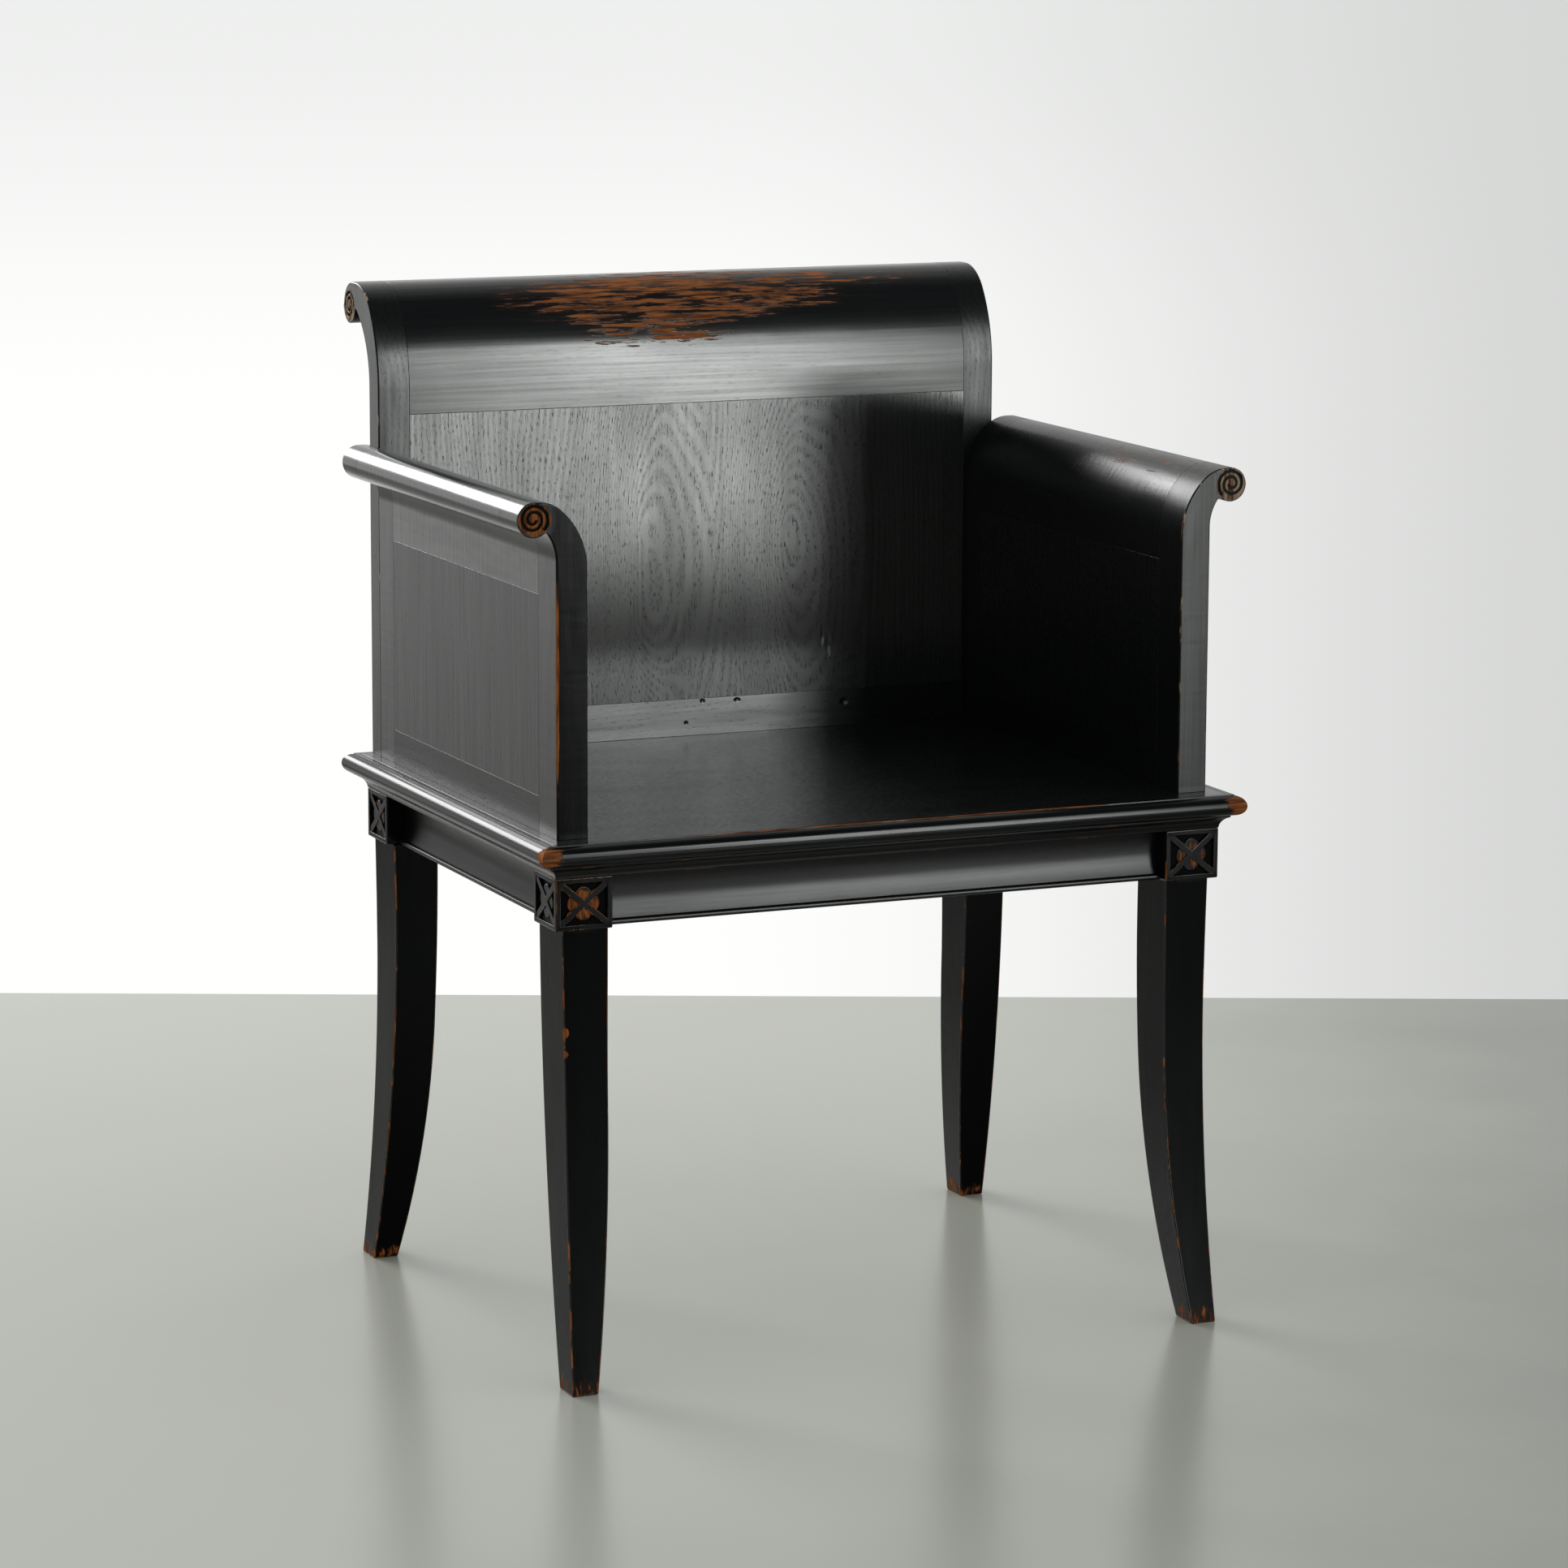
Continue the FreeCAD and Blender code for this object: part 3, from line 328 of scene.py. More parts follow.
class StageSettings(bpy.types.PropertyGroup):
    """Camera, floor and light."""

    camera_position: FloatVectorProperty(
        name="Camera position", description="Where the camera stands",
        subtype="TRANSLATION", size=3, default=(-1.89901, -4.37448, 1.30360))
    camera_azimuth: FloatProperty(
        name="Camera azimuth", description="Direction of the camera round the chair",
        subtype="ANGLE", default=math.radians(-23.57))
    camera_elevation: FloatProperty(
        name="Camera elevation", description="Height of the camera above the horizon",
        subtype="ANGLE", default=math.radians(10.19))
    camera_roll: FloatProperty(
        name="Camera roll", description="Turn of the camera about its own axis",
        subtype="ANGLE", default=math.radians(0.23))
    camera_lens: FloatProperty(
        name="Lens", description="Focal length on a 36 mm sensor, in millimetres",
        unit="CAMERA", default=127.35)
    floor_color: FloatVectorProperty(
        name="Floor", description="Colour of the floor",
        subtype="COLOR", size=3, default=(0.42, 0.43, 0.375))
    floor_back: FloatProperty(
        name="Floor back edge", description="Distance from the chair to the far edge of the floor",
        subtype="DISTANCE", default=1.17)
    floor_reach: FloatProperty(
        name="Floor reach", description="Extent of the floor in the other directions",
        subtype="DISTANCE", default=30.0)
    window_position: FloatVectorProperty(
        name="Window position", description="Middle of the tall curtained window",
        subtype="TRANSLATION", size=3, default=(1.56, -3.6, 1.36))
    window_height: FloatProperty(
        name="Window height", description="Height of the tall curtained window",
        subtype="DISTANCE", default=2.6)
    curtain_width: FloatProperty(
        name="Curtain width", description="Width of the window with its lit curtains",
        subtype="DISTANCE", default=1.05)
    curtain_power: FloatProperty(
        name="Curtain power", description="Power of the light through the curtains",
        unit="POWER", default=36.0)
    pane_width: FloatProperty(
        name="Pane width", description="Width of the clear gap between the curtains",
        subtype="DISTANCE", default=0.45)
    pane_power: FloatProperty(
        name="Pane power", description="Power of the light through the clear gap",
        unit="POWER", default=60.0)
    wash_power: FloatProperty(
        name="Wash power", description="Power of the light that comes back from the wall behind",
        unit="POWER", default=135.0)


@dataclass
class Coat:
    """How one group of pieces took and kept its lacquer.

    Figure, streaks and waves scale growth rings, bands of sheen and planing marks.
    Ribs and chatter are heights of finer marks.
    Gloss is a roughness, sheen the strength of reflections, and brushed draws them out across the grain.
    The level of a place is a wear, a depth, a sheen, a loss of sheen or, in flames, a number of rings.
    """
    axis: str
    figure: float = 0.3
    streaks: float = 0.3
    ribs: float = 0.004 * MM
    gloss: float = 0.25
    sheen: float = 0.5
    brushed: float = 0.0
    film_index: float = 1.5
    waves: float = 1.0
    chatter: float = 0.0
    arris_wear: float = 0.3
    arris_shine: float = 0.0
    flames: tuple = ()
    worn: tuple = ()
    dents: tuple = ()
    polish: tuple = ()
    matt: tuple = ()
    lean: tuple = (0.0, 0.0, 0.0)
    pale: bool = False


# What differs between the two arms in gloss, sheen and wear
ARM_LOOKS = {
    "left": SimpleNamespace(
        stile_gloss=0.19, stile_sheen=0.5, arris_wear=0.3, edge_wear=0.9, roll_polish=0.8, rail_gloss=0.2,
        rail_sheen=0.9, front_dulling=0.8, rubbed=(), pale=False),
    "right": SimpleNamespace(
        stile_gloss=0.32, stile_sheen=0.36, arris_wear=0.46, edge_wear=0.5, roll_polish=0.34, rail_gloss=0.28,
        rail_sheen=0.34, front_dulling=0.0, pale=True,
        rubbed=(Place(mm(292, -150, 737), mm(56, 190, 22), 0.34),)),
}


def link(tree, value, socket):
    """Set a socket to a number or join it to another socket."""
    if isinstance(value, bpy.types.NodeSocket):
        tree.links.new(value, socket)
    else:
        socket.default_value = value


def calc(tree, operation, *values, clamp=False):
    """Result of one sum on numbers or sockets."""
    node = tree.nodes.new("ShaderNodeMath")
    node.operation = operation
    node.use_clamp = clamp
    for value, socket in zip(values, node.inputs):
        link(tree, value, socket)
    return node.outputs["Value"]


def stretch(tree, vector, scale, location=(0.0, 0.0, 0.0)):
    """Coordinates scaled along the axes of the chair, then shifted."""
    node = tree.nodes.new("ShaderNodeMapping")
    link(tree, vector, node.inputs["Vector"])
    node.inputs["Scale"].default_value = scale
    node.inputs["Location"].default_value = location
    return node.outputs["Vector"]


def dot_with(tree, vector, direction):
    """How far a vector goes along a direction."""
    node = tree.nodes.new("ShaderNodeVectorMath")
    node.operation = "DOT_PRODUCT"
    link(tree, vector, node.inputs[0])
    node.inputs[1].default_value = direction
    return node.outputs["Value"]


def noise(tree, vector, detail=1.0, roughness=0.5):
    """Soft random values over a vector, with about one swell per unit of length."""
    node = tree.nodes.new("ShaderNodeTexNoise")
    link(tree, vector, node.inputs["Vector"])
    node.inputs["Scale"].default_value = 1.0
    node.inputs["Detail"].default_value = detail
    node.inputs["Roughness"].default_value = roughness
    return node.outputs["Fac"]


def soft_step(tree, value, edge, start=0.0, end=1.0):
    """Smooth passage from start to end while a value crosses an edge."""
    node = tree.nodes.new("ShaderNodeMapRange")
    node.interpolation_type = "SMOOTHSTEP"
    link(tree, value, node.inputs["Value"])
    for name, number in zip(("From Min", "From Max", "To Min", "To Max"), (*edge, start, end)):
        node.inputs[name].default_value = number
    return node.outputs["Result"]


def blend_color(tree, share, first, second):
    """Colour between a first and a second one."""
    node = tree.nodes.new("ShaderNodeMix")
    node.data_type = "RGBA"
    link(tree, share, node.inputs["Factor"])
    for value, name in ((first, "A"), (second, "B")):
        socket = [s for s in node.inputs if s.name == name and s.type == "RGBA"][0]
        link(tree, value if isinstance(value, bpy.types.NodeSocket) else (*value, 1.0), socket)
    return [s for s in node.outputs if s.type == "RGBA"][0]


def by_grain(axis, along, across):
    """Values along the three axes for a pattern that runs along the grain."""
    return tuple(along if name == axis else across for name in "XYZ")


def grain_noise(tree, coords, axis, repeats, detail=1.0, roughness=0.5):
    """Noise drawn out along the grain."""
    return noise(tree, stretch(tree, coords, by_grain(axis, *repeats)), detail, roughness)


def nearness(tree, coords, place):
    """One at the centre of a place, falling evenly to zero at its reach along each axis."""
    scale = tuple(1.0 / size for size in place.reach)
    shift = tuple(-middle / size for middle, size in zip(place.centre, place.reach))
    length = tree.nodes.new("ShaderNodeVectorMath")
    length.operation = "LENGTH"
    link(tree, stretch(tree, coords, scale, shift), length.inputs[0])
    return calc(tree, "SUBTRACT", 1.0, length.outputs["Value"], clamp=True)


def face_mark(tree, name):
    """Value that the piece carries on each of its faces."""
    node = tree.nodes.new("ShaderNodeAttribute")
    node.attribute_name = name
    return node.outputs["Fac"]


def new_material(name):
    """Empty finish, with its node tree, its shader and the chair's own coordinates."""
    material = bpy.data.materials.new(name)
    material.use_nodes = True
    tree = material.node_tree
    coords = tree.nodes.new("ShaderNodeTexCoord").outputs["Object"]
    return material, tree, tree.nodes["Principled BSDF"], coords


def set_relief(tree, shader, height):
    """Let a height in metres tilt the surface."""
    bump = tree.nodes.new("ShaderNodeBump")
    bump.inputs["Distance"].default_value = 1.0
    link(tree, height, bump.inputs["Height"])
    tree.links.new(bump.outputs["Normal"], shader.inputs["Normal"])


def grain_relief(tree, coords, coat, finish):
    """Height of the lacquer over open-pored wood, its open pores, its streaks and its soft growth rings."""
    axis = coat.axis
    drift = grain_noise(tree, coords, axis, RING_DRIFT, detail=1.5, roughness=0.4)
    rings = dot_with(tree, coords, by_grain(axis, *RING_COUNT))
    rings = calc(tree, "MULTIPLY_ADD", drift, RING_WANDER, rings)
    for flame in coat.flames:
        rings = calc(tree, "MULTIPLY_ADD", nearness(tree, coords, flame), flame.level, rings)
    early = soft_step(tree, calc(tree, "PINGPONG", rings, 0.5), RING_EDGE)
    fleck = grain_noise(tree, coords, axis, PORE_FLECKS)
    share = calc(tree, "MULTIPLY_ADD", early, 1.0 - LATE_WOOD_PORES, LATE_WOOD_PORES)
    pores = calc(tree, "MULTIPLY", soft_step(tree, fleck, PORE_EDGE), share)
    pores = calc(tree, "MULTIPLY", pores, min(coat.figure, 1.0))
    streak = grain_noise(tree, coords, axis, SHEEN_STREAKS, detail=2.0, roughness=0.6)
    height = calc(tree, "MULTIPLY", early, -finish.ring_depth * coat.figure)
    height = calc(tree, "MULTIPLY_ADD", pores, -finish.pore_depth, height)
    rib = grain_noise(tree, coords, axis, FINE_RIBS, detail=0.0)
    height = calc(tree, "MULTIPLY_ADD", rib, coat.ribs, height)
    wave = grain_noise(tree, coords, axis, PLANE_WAVES, detail=2.0)
    height = calc(tree, "MULTIPLY_ADD", wave, finish.wave_depth * coat.waves, height)
    if coat.chatter:
        ripple = grain_noise(tree, coords, axis, CHATTER_MARKS)
        height = calc(tree, "MULTIPLY_ADD", ripple, coat.chatter, height)
    for place in coat.dents:
        dent = soft_step(tree, nearness(tree, coords, place), DENT_EDGE)
        height = calc(tree, "MULTIPLY_ADD", dent, -place.level, height)
    if any(coat.lean):
        height = calc(tree, "ADD", height, dot_with(tree, coords, coat.lean))
    return height, pores, streak, early


def wear_masks(tree, coords, coat):
    """Where the lacquer is gone, and where it is only thin."""
    rub = grain_noise(tree, coords, coat.axis, RUBBED_LENGTHS, detail=3.0, roughness=0.6)
    level = SOUND_ARRIS - ARRIS_GIVE * coat.arris_wear
    rubbed = soft_step(tree, rub, [level + step for step in ARRIS_EDGE])
    likely = calc(tree, "MULTIPLY", face_mark(tree, "arris"), rubbed)
    for place in coat.worn:
        spot = soft_step(tree, nearness(tree, coords, place), WORN_PLACE_EDGE, 0.0, place.level)
        likely = calc(tree, "MAXIMUM", likely, spot)
    likely = calc(tree, "MULTIPLY_ADD", face_mark(tree, "sheltered_shaded_hollow"), -HOLLOW_SHELTER, likely, clamp=True)
    patch = grain_noise(tree, coords, coat.axis, WORN_PATCHES, detail=4.0, roughness=0.62)
    ragged = calc(tree, "MULTIPLY_ADD", patch, PATCH_CONTRAST, -0.5 * PATCH_CONTRAST)
    edge = calc(tree, "ADD", likely, ragged)
    touched = soft_step(tree, likely, TOUCHED_EDGE)
    worn = calc(tree, "MULTIPLY", soft_step(tree, edge, WORN_EDGE), touched)
    thin = calc(tree, "MULTIPLY", soft_step(tree, edge, THIN_EDGE), touched)
    return worn, thin


def lacquer_color(tree, coords, coat, finish, worn, thin):
    """Black, browner where it is thin, and streaked wood where it is gone."""
    shade = grain_noise(tree, coords, coat.axis, WORN_STREAKS, detail=3.0)
    bright = finish.pale_color if coat.pale else finish.worn_color
    wood = blend_color(tree, soft_step(tree, shade, WORN_STREAK_EDGE), finish.worn_shade_color, bright)
    black = blend_color(tree, thin, finish.lacquer_color, finish.thin_color)
    return blend_color(tree, worn, black, wood)


def lacquer_gloss(tree, coords, coat, finish, pores, worn):
    """Roughness of the lacquer, mottled, and rougher in open pores and on worn wood."""
    mottle = grain_noise(tree, coords, coat.axis, GLOSS_MOTTLE, detail=3.0)
    gloss = calc(tree, "MULTIPLY_ADD", mottle, MOTTLE_SWING, coat.gloss - 0.5 * MOTTLE_SWING)
    gloss = calc(tree, "MULTIPLY_ADD", pores, PORE_ROUGHNESS, gloss)
    return calc(tree, "MULTIPLY_ADD", worn, finish.worn_roughness - coat.gloss, gloss, clamp=True)


def lacquer_sheen(tree, coords, coat, pores, streak, early, worn):
    """Strength of reflections, in streaks, weaker in pores, soft rings and on worn wood, and weaker in sunk
    carving as painted shade.
    """
    swing = STREAK_SWING * coat.streaks
    sheen = calc(tree, "MULTIPLY_ADD", streak, coat.sheen * swing, coat.sheen * (1.0 - 0.5 * swing))
    sheen = calc(tree, "MULTIPLY_ADD", pores, -PORE_DULLING * coat.sheen, sheen)
    sheen = calc(tree, "MULTIPLY_ADD", early, -RING_DULLING * coat.sheen * coat.figure, sheen)
    for place in coat.polish:
        spot = soft_step(tree, nearness(tree, coords, place), SHEEN_PLACE_EDGE, 0.0, place.level)
        sheen = calc(tree, "MAXIMUM", sheen, spot)
    for place in coat.matt:
        spot = soft_step(tree, nearness(tree, coords, place), SHEEN_PLACE_EDGE, 1.0, 1.0 - place.level)
        sheen = calc(tree, "MULTIPLY", sheen, spot)
    if coat.arris_shine:
        shine = calc(tree, "MULTIPLY", face_mark(tree, "arris"), coat.arris_shine)
        sheen = calc(tree, "MAXIMUM", sheen, shine)
    # Worn wood loses sheen; sunk carving loses it too, as painted shade
    dull = calc(tree, "MAXIMUM", worn, face_mark(tree, "sheltered_shaded_hollow"))
    kept = calc(tree, "MULTIPLY_ADD", dull, -WEAR_AND_SHADE_DULLING, 1.0)
    return calc(tree, "MULTIPLY", sheen, kept, clamp=True)


def brush_across(tree, shader, coat):
    """Draw reflections out across the grain, as fine ribs along it do."""
    across = tree.nodes.new("ShaderNodeVectorMath")
    across.operation = "CROSS_PRODUCT"
    tree.links.new(tree.nodes.new("ShaderNodeNewGeometry").outputs["Normal"], across.inputs[0])
    across.inputs[1].default_value = by_grain(coat.axis, 1.0, 0.0)
    tree.links.new(across.outputs["Vector"], shader.inputs["Tangent"])
    shader.inputs["Anisotropic"].default_value = coat.brushed


def lacquer_material(name, coat, finish):
    """Black lacquer over open grain, rubbed through at arrises and at the worn places."""
    material, tree, shader, coords = new_material(name)
    height, pores, streak, early = grain_relief(tree, coords, coat, finish)
    worn, thin = wear_masks(tree, coords, coat)
    color = lacquer_color(tree, coords, coat, finish, worn, thin)
    gloss = lacquer_gloss(tree, coords, coat, finish, pores, worn)
    sheen = lacquer_sheen(tree, coords, coat, pores, streak, early, worn)
    tree.links.new(color, shader.inputs["Base Color"])
    tree.links.new(gloss, shader.inputs["Roughness"])
    tree.links.new(sheen, shader.inputs["Specular IOR Level"])
    shader.inputs["IOR"].default_value = coat.film_index
    set_relief(tree, shader, calc(tree, "MULTIPLY_ADD", worn, -FILM_THICKNESS, height))
    if coat.brushed:
        brush_across(tree, shader, coat)
    return material


def bare_material(name, finish):
    """Plain unfinished wood with fine grain from front to back."""
    material, tree, shader, coords = new_material(name)
    height, pores, streak = grain_relief(tree, coords, Coat("Y", figure=1.0), finish)[:3]
    dark = tuple(BARE_DARKENING * channel for channel in finish.bare_color)
    wood = blend_color(tree, soft_step(tree, streak, BARE_STREAK_EDGE), dark, finish.bare_color)
    rough = calc(tree, "MULTIPLY_ADD", pores, BARE_PORE_ROUGHNESS, BARE_ROUGHNESS)
    tree.links.new(wood, shader.inputs["Base Color"])
    tree.links.new(rough, shader.inputs["Roughness"])
    set_relief(tree, shader, height)
    return material


def sharp_edges(bm, test):
    """Convex edges of more than a slight turn that pass the test on their two ends."""
    found = []
    for edge in bm.edges:
        if edge.is_manifold and edge.calc_face_angle_signed() > SHARP_TURN:
            if test(edge.verts[0].co, edge.verts[1].co):
                found.append(edge)
    return found


def ease(bm, layer, edges, radius, segments, wear):
    """Round a set of edges and note the new faces as arrises."""
    if not edges:
        return
    made = bmesh.ops.bevel(
        bm, geom=edges, offset=radius, offset_type="OFFSET", segments=segments, profile=0.5,
        affect="EDGES", clamp_overlap=False, material=-1)
    for face in made["faces"]:
        face[layer] = wear


def eased_copy(node, material, easings, sheltered_shaded_hollow=None):
    """Piece that stands for a CAD node: its own shape with eased arrises, open seams and one finish.

    The last argument is a test on the middle of a face: it picks the sunk ground of a carving, which is
    sheltered from wear and loses sheen as painted shade.
    """
    segments = bpy.context.scene.armchair_arris.segments
    bm = bmesh.new()
    bm.from_mesh(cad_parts[node].data)
    bmesh.ops.remove_doubles(bm, verts=bm.verts, dist=WELD_DISTANCE)
    bmesh.ops.dissolve_limit(
        bm, angle_limit=FLAT_TURN, use_dissolve_boundaries=False, verts=bm.verts, edges=bm.edges)
    layer = bm.faces.layers.float.new("arris")
    sunk = bm.faces.layers.float.new("sheltered_shaded_hollow")
    for test, radius, wear in easings:
        ease(bm, layer, sharp_edges(bm, test), radius, segments, wear)
    for face in bm.faces:
        face.smooth = True
        # Sunk carving ground is marked to lose sheen as painted shade, and to wear less
        if sheltered_shaded_hollow and not face[layer] and sheltered_shaded_hollow(face.calc_center_median()):
            face[sunk] = 1.0
    for edge in bm.edges:
        edge.smooth = not edge.is_manifold or edge.calc_face_angle() < CREASE_TURN
    mesh = bpy.data.meshes.new(f"{node}_lacquered")
    bm.to_mesh(mesh)
    bm.free()
    mesh.materials.append(material)
    piece = bpy.data.objects.new(f"{node}_lacquered", mesh)
    bpy.context.scene.collection.objects.link(piece)
    shading = piece.modifiers.new("even_shading", "WEIGHTED_NORMAL")
    shading.keep_sharp = True
    shading.weight = LARGE_FACE_WEIGHT
    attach(piece, "root")
    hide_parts(node)
    return piece


def on_plane(axis, level):
    """Test for edges that lie in a plane square to an axis."""
    return lambda first, second: all(abs(point[axis] - level) < PLANE_TOLERANCE for point in (first, second))


def everywhere(first, second):
    """Test that every edge passes."""
    return True


def any_of(*tests):
    """Test for edges that pass at least one of the tests."""
    return lambda first, second: any(test(first, second) for test in tests)


def none_of(*tests):
    """Test for edges that pass none of the tests."""
    return lambda first, second: not any(test(first, second) for test in tests)


def all_of(*tests):
    """Test for edges that pass all of the tests."""
    return lambda first, second: all(test(first, second) for test in tests)


def above_seat(first, second):
    """Test that leaves out the tenons under the seat's top."""
    return min(first.z, second.z) > SEAT_TOP - SEAT_TOLERANCE


def near_axis(across, centre, radius):
    """Test for edges inside a roll, seen along it: across names the two other axes."""
    def inside(point):
        return math.hypot(*(point[axis] - place for axis, place in zip(across, centre))) < radius
    return lambda first, second: inside(first) and inside(second)


def spiral_ground(spiral, axis, low, high):
    """Test for faces on the ground of the spirals at the two ends of a roll."""
    return lambda point: spiral(point, point) and low + SPIRAL_GROUND < point[axis] < high - SPIRAL_GROUND


def arm_roll(side):
    """Middle of an arm's roll, across and up."""
    low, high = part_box(f"arm_{side}_front_stile")
    across = low.x + ARM_ROLL_RADIUS if side == "left" else high.x - ARM_ROLL_RADIUS
    return across, high.z - ARM_ROLL_RADIUS


def head_box(node):
    """Lowest and highest corner of the square head of a leg."""
    head = [vertex.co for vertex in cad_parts[node].data.vertices if vertex.co.z > HEAD_MIDDLE]
    low = Vector([min(point[axis] for point in head) for axis in (X, Y, Z)])
    high = Vector([max(point[axis] for point in head) for axis in (X, Y, Z)])
    return low, high


def on_face(face, rows):
    """Places on an upright face, from rows of across, up and reach in millimetres, and level."""
    return tuple(Place((across * MM, face, up * MM), mm(*reach), level) for across, up, reach, level in rows)


def framed_easings(seams, carved, arris):
    """Easings of a stile that ends in a roll, and of the rails and panel between the stiles."""
    seam = Easing(all_of(above_seat, seams), arris.seam_radius, wear=0.0)
    edges = Easing(all_of(above_seat, none_of(seams, carved)), arris.stile_radius, wear=0.8)
    ridges = Easing(all_of(carved, none_of(seams)), arris.spiral_radius, wear=0.7)
    return [edges, seam, ridges], [seam]


def finish_settings():
    """Settings of the finish and of the arrises."""
    scene = bpy.context.scene
    return scene.armchair_lacquer, scene.armchair_arris


class ARMCHAIR_OT_legs(bpy.types.Operator):
    """Sabre legs with carved heads, eased and worn at arrises and feet"""
    bl_idname = "armchair.legs"
    bl_label = "Legs"

    def execute(self, context):
        finish, arris = finish_settings()
        for end in ENDS:
            for side in SIDES:
                self.make_leg(end, side, finish, arris)
        return {"FINISHED"}

    def foot_wear(self, node, end, side):
        """Worn place round the foot."""
        low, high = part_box(node)
        across = low.x + FOOT_INSET_ACROSS if side == "left" else high.x - FOOT_INSET_ACROSS
        along = low.y + FOOT_INSET_ALONG if end == "front" else high.y - FOOT_INSET_ALONG
        return Place((across, along, 0.0), FOOT_REACH, FOOT_WEAR[end])

    def make_leg(self, end, side, finish, arris):
        """One leg, with the wear that shows on it."""
        node = f"leg_{end}_{side}"
        low, high = head_box(node)
        middle = (low + high) / 2
        worn = [self.foot_wear(node, end, side)]
        if end == "front":
            flower = (middle.x, low.y + PETAL_DEPTH, HEAD_MIDDLE - FLOWER_DROP)
            worn.append(Place(flower, FLOWER_REACH, FLOWER_WEAR[side]))
        if node == "leg_front_left":
            worn += SHANK_CHIPS

        def carved(first, second):
            """Test for edges within the height of the sunk squares."""
            bottom, top = HEAD_BOTTOM + CARVING_BORDER, HEAD_TOP - CARVING_BORDER
            return all(bottom < point.z < top for point in (first, second))

        def on_head(first, second):
            """Test for edges of the square head."""
            return min(first.z, second.z) > HEAD_BOTTOM - arris.seam_radius

        def sunk(point):
            """Test for faces on the ground of the carving."""
            deep = all(low[axis] + HEAD_GROUND < point[axis] < high[axis] - HEAD_GROUND for axis in (X, Y))
            return deep and carved(point, point)

        outer = any_of(*(on_plane(axis, corner[axis]) for axis in (X, Y) for corner in (low, high)))
        rim = all_of(carved, outer)
        easings = [
            Easing(none_of(on_head), arris.leg_radius, wear=0.8),
            Easing(all_of(on_head, none_of(carved)), arris.leg_radius, wear=0.55),
            Easing(all_of(carved, none_of(rim)), arris.carving_radius, wear=0.6),
            Easing(rim, arris.rim_radius, wear=0.5),
        ]
        polish = (Place((middle.x, middle.y, HEAD_MIDDLE), HEAD_POLISH_REACH, HEAD_POLISH),)
        coat = Coat("Z", figure=0.25, streaks=0.2, gloss=0.25, sheen=0.028, arris_wear=0.62, arris_shine=0.5,
                    worn=tuple(worn), polish=polish)
        eased_copy(node, lacquer_material(f"{node}_lacquer", coat, finish), easings, sunk)


class ARMCHAIR_OT_seat_rails(bpy.types.Operator):
    """Hollow seat rails with bead and fillet"""
    bl_idname = "armchair.seat_rails"
    bl_label = "Seat rails"

    def execute(self, context):
        finish, arris = finish_settings()
        easings = [Easing(everywhere, arris.moulding_radius, wear=0.8)]
        for axis, names, sheen in (("X", ENDS, 0.3), ("Y", SIDES, 0.1)):
            coat = Coat(axis, figure=0.15, streaks=0.2, gloss=0.3, sheen=sheen, waves=0.8, arris_wear=0.4,
                        arris_shine=0.4)
            material = lacquer_material(f"seat_rail_lacquer_{axis}", coat, finish)
            for name in names:
                eased_copy(f"seat_rail_{name}", material, easings)
        return {"FINISHED"}


class ARMCHAIR_OT_seat(bpy.types.Operator):
    """Mitred seat frame and the board let into it"""
    bl_idname = "armchair.seat"
    bl_label = "Seat"

    def execute(self, context):
        finish, arris = finish_settings()
        low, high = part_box("seat_frame_front")
        front, rear = low.y + FRAME_OVERHANG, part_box("seat_frame_rear")[1].y - FRAME_OVERHANG

        def shows(point):
            """Whether a point is on the seat's top or on the mouldings outside the leg heads."""
            outside = abs(point.x) > high.x - FRAME_OVERHANG or not front < point.y < rear
            return outside or point.z > SEAT_TOP - arris.seam_radius

        def in_sight(first, second):
            """Test for edges that show, so that hidden mortises keep their corners."""
            return shows(first) and shows(second)

        worn = [Place((0.0, low.y + NOSE_DEPTH, SEAT_TOP), (high.x, *NOSE_LINE_REACH), SEAT_WEAR)]
        for across in (low.x + CORNER_INSET, high.x - CORNER_INSET):
            corner = (across, low.y + CORNER_INSET, SEAT_TOP - CORNER_DROP)
            worn.append(Place(corner, CORNER_REACH, SEAT_WEAR))
        for axis, names, sheen in (("X", ENDS, 0.22), ("Y", SIDES, 0.13)):
            coat = Coat(axis, figure=0.1, streaks=0.15, gloss=0.2, sheen=sheen, waves=0.8, arris_wear=0.3,
                        worn=tuple(worn))
            material = lacquer_material(f"seat_frame_lacquer_{axis}", coat, finish)
            for name in names:
                eased_copy(f"seat_frame_{name}", material, [Easing(in_sight, arris.seam_radius, wear=0.8)])
        board = Coat("X", figure=0.5, streaks=0.3, gloss=0.24, sheen=0.55, waves=0.5, arris_wear=0.1)
        material = lacquer_material("seat_board_lacquer", board, finish)
        eased_copy("seat_board", material, [Easing(everywhere, arris.seam_radius, wear=0.2)])
        return {"FINISHED"}


